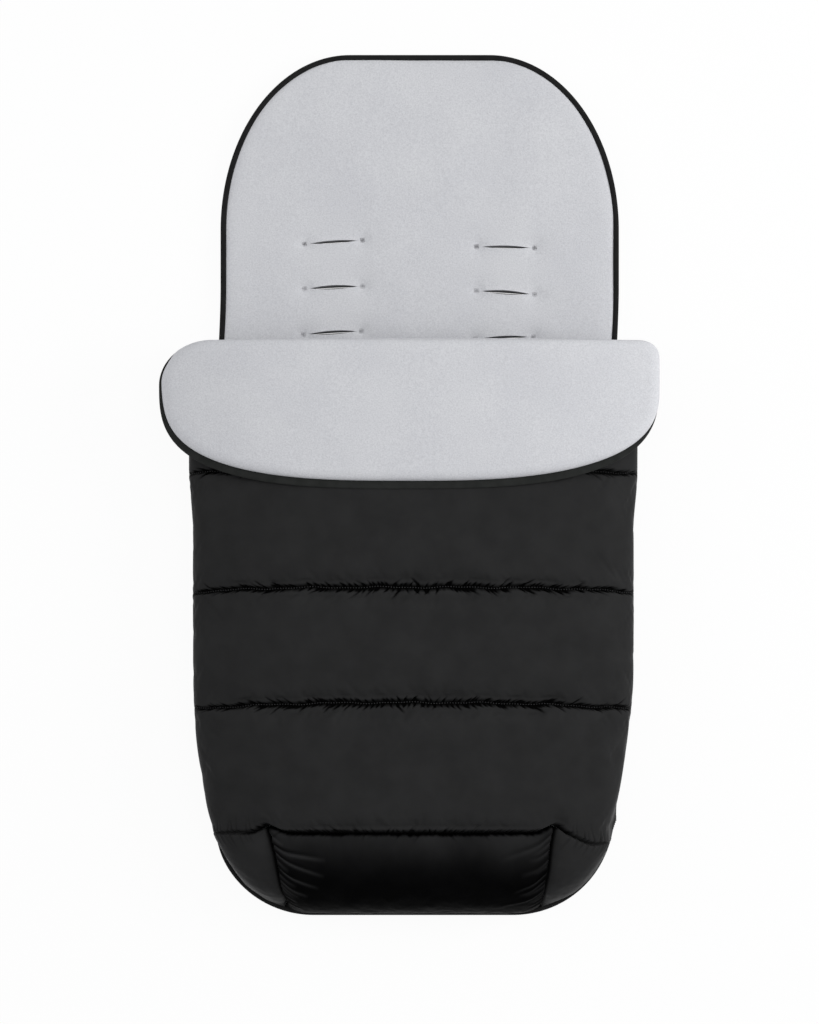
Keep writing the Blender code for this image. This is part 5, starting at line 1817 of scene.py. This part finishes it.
def dots_tree(name, material, sizes):
    """Sets dots on two grids, one moved half a pitch from the other."""
    tree, given = start_tree(name, sizes)
    dot = add_node(tree, "GeometryNodeMeshCone", Vertices=8, Radius_Top=given["Dot radius"],
                   Radius_Bottom=maths(tree, "MULTIPLY", given["Dot radius"], DOT_TOP_SHARE),
                   Depth=given["Dot height"])
    joined = add_node(tree, "GeometryNodeJoinGeometry")
    axes = (("X", given["Width"], given["Pitch"]),
            ("Y", given["Length"], maths(tree, "MULTIPLY", given["Pitch"], math.sqrt(3))))
    for moved in (0.0, 0.5):
        grid = add_node(tree, "GeometryNodeMeshGrid")
        for axis, span, pitch in axes:
            count = maths(tree, "FLOOR", maths(tree, "DIVIDE", span, pitch), 0)
            feed(tree, count, grid.inputs["Vertices " + axis])
            feed(tree, maths(tree, "MULTIPLY", maths(tree, "SUBTRACT", count, 1), pitch), grid.inputs["Size " + axis])
        shift = vector_of(tree, **{axis: maths(tree, "MULTIPLY", pitch, moved - 0.25) for axis, span, pitch in axes})
        place = add_node(tree, "GeometryNodeSetPosition", Geometry=grid.outputs["Mesh"], Offset=shift)
        feed(tree, set_copies(tree, place.outputs["Geometry"], dot.outputs["Mesh"]), joined.inputs["Geometry"])
    return finish_tree(tree, joined.outputs["Geometry"], material, smooth_faces=False)


grip_tree = dots_tree("grip_dots", rubber, DOTS)


def grip_panel(name, node):
    """A thin rounded sheet in the place of a CAD node, and the dots under it."""
    low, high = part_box(node)
    width, length = high[0] - low[0], high[1] - low[1]
    middle_y = (high[1] + low[1]) / 2
    outline = []
    for corner, (sign_x, sign_y) in enumerate(((1, 1), (-1, 1), (-1, -1), (1, -1))):
        for turn in np.linspace(0, math.pi / 2, 9):
            angle = turn + corner * math.pi / 2
            outline.append((sign_x * (width / 2 - GRIP_CORNER) + GRIP_CORNER * math.cos(angle),
                            middle_y + sign_y * (length / 2 - GRIP_CORNER) + GRIP_CORNER * math.sin(angle)))
    count = len(outline)
    points = [(x, y, z) for z in (low[2] + DOTS["Dot height"] * 0.9, high[2]) for x, y in outline]
    faces = [tuple(range(count))[::-1], tuple(range(count, 2 * count))]
    faces += [(step, (step + 1) % count, count + (step + 1) % count, count + step) for step in range(count)]
    sheet = build_mesh(name + "_sheet", points, faces, [grip_base], [(x, y) for x, y, z in points], 30)
    dots = run_tree(name + "_dots", [[(0, 0, 0), (0, 0.001, 0)]], grip_tree,
                    {**DOTS, "Width": width - GRIP_MARGIN, "Length": length - GRIP_MARGIN})
    dots.data.transform(Matrix.Translation((0, middle_y, low[2] + DOTS["Dot height"] / 2)))
    return sheet, dots


grips = {node: grip_panel(node.replace("_panel", ""), node) for node in ("head_grip_panel", "seat_grip_panel")}

# %% Dress the metal parts
for side_name in ("right", "left"):
    for part in ("_zip_slider", "_zip_puller", "_zip_stop"):
        for material_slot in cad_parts[side_name + part].material_slots:
            material_slot.material = black_metal
print("sliders, pullers and stops in black metal")

# %% [markdown]
# ## Joining the pieces to the frame
#
# Each piece is attached to the CAD body it moves with, and the CAD solids that it stands for are hidden. The
# shin channel, the cover's lining, the cover's zip halves and the foot seam stitches are only baked in place and
# attached to no body; nothing makes them bend with the cover.


def bend_with_cover(piece):
    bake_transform(piece)


for channel, node in zip(channels, ("shin_wadding", "knee_wadding", "thigh_wadding", "chest_wadding")):
    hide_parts(node, "cover_shell")
bend_with_cover(channels[0])
for channel in channels[1:]:
    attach(channel, "cover")
bend_with_cover(cover_fleece)
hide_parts("cover_lining")

for piece, nodes, slot_name, fill in (
    (foot_front, ("foot_panel", "foot_wadding"), "shell", 0.6),
    (left_foot_side, ("left_foot_corner",), "shell", 0.6),
    (right_foot_side, ("right_foot_corner",), "shell", 0.6),
    (foot_fleece, ("foot_lining",), "fleece", 0.4),
    (back_pad, ("back_lining", "back_wadding"), "fleece", 0.4),
    (back_underside, ("back_shell",), "shell", None),
    (panel_binding, ("back_binding",), "binding", None),
    (collar_pad, ("flap_lining", "flap_wadding"), "fleece", 0.7),
    (collar_underside, ("flap_shell",), "shell", None),
    (collar_band, ("flap_binding",), "binding", None),
):
    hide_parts(*nodes)
    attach(piece, "flap" if piece.name.startswith("collar") else "back")
for half_name, halves in zip_halves.items():
    for piece in halves:
        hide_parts(half_name + "_tape")
        if "cover" in half_name:
            bend_with_cover(piece)
        else:
            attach(piece, "back")
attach(fold_roll, "cover")
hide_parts("cover_lining")


def outline_area(outline):
    x, y = np.array(outline).T
    return abs(float(np.dot(x, np.roll(y, -1)) - np.dot(y, np.roll(x, -1)))) / 2


outline_area(back_outline(under_inset))
for node, (sheet, dots) in grips.items():
    for piece in (sheet, dots):
        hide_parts(node)
        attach(piece, "back")
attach(quilting_stitches, "cover")
bend_with_cover(foot_seam_stitches)
for piece in (dart_stitches, bar_tacks):
    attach(piece, "back")
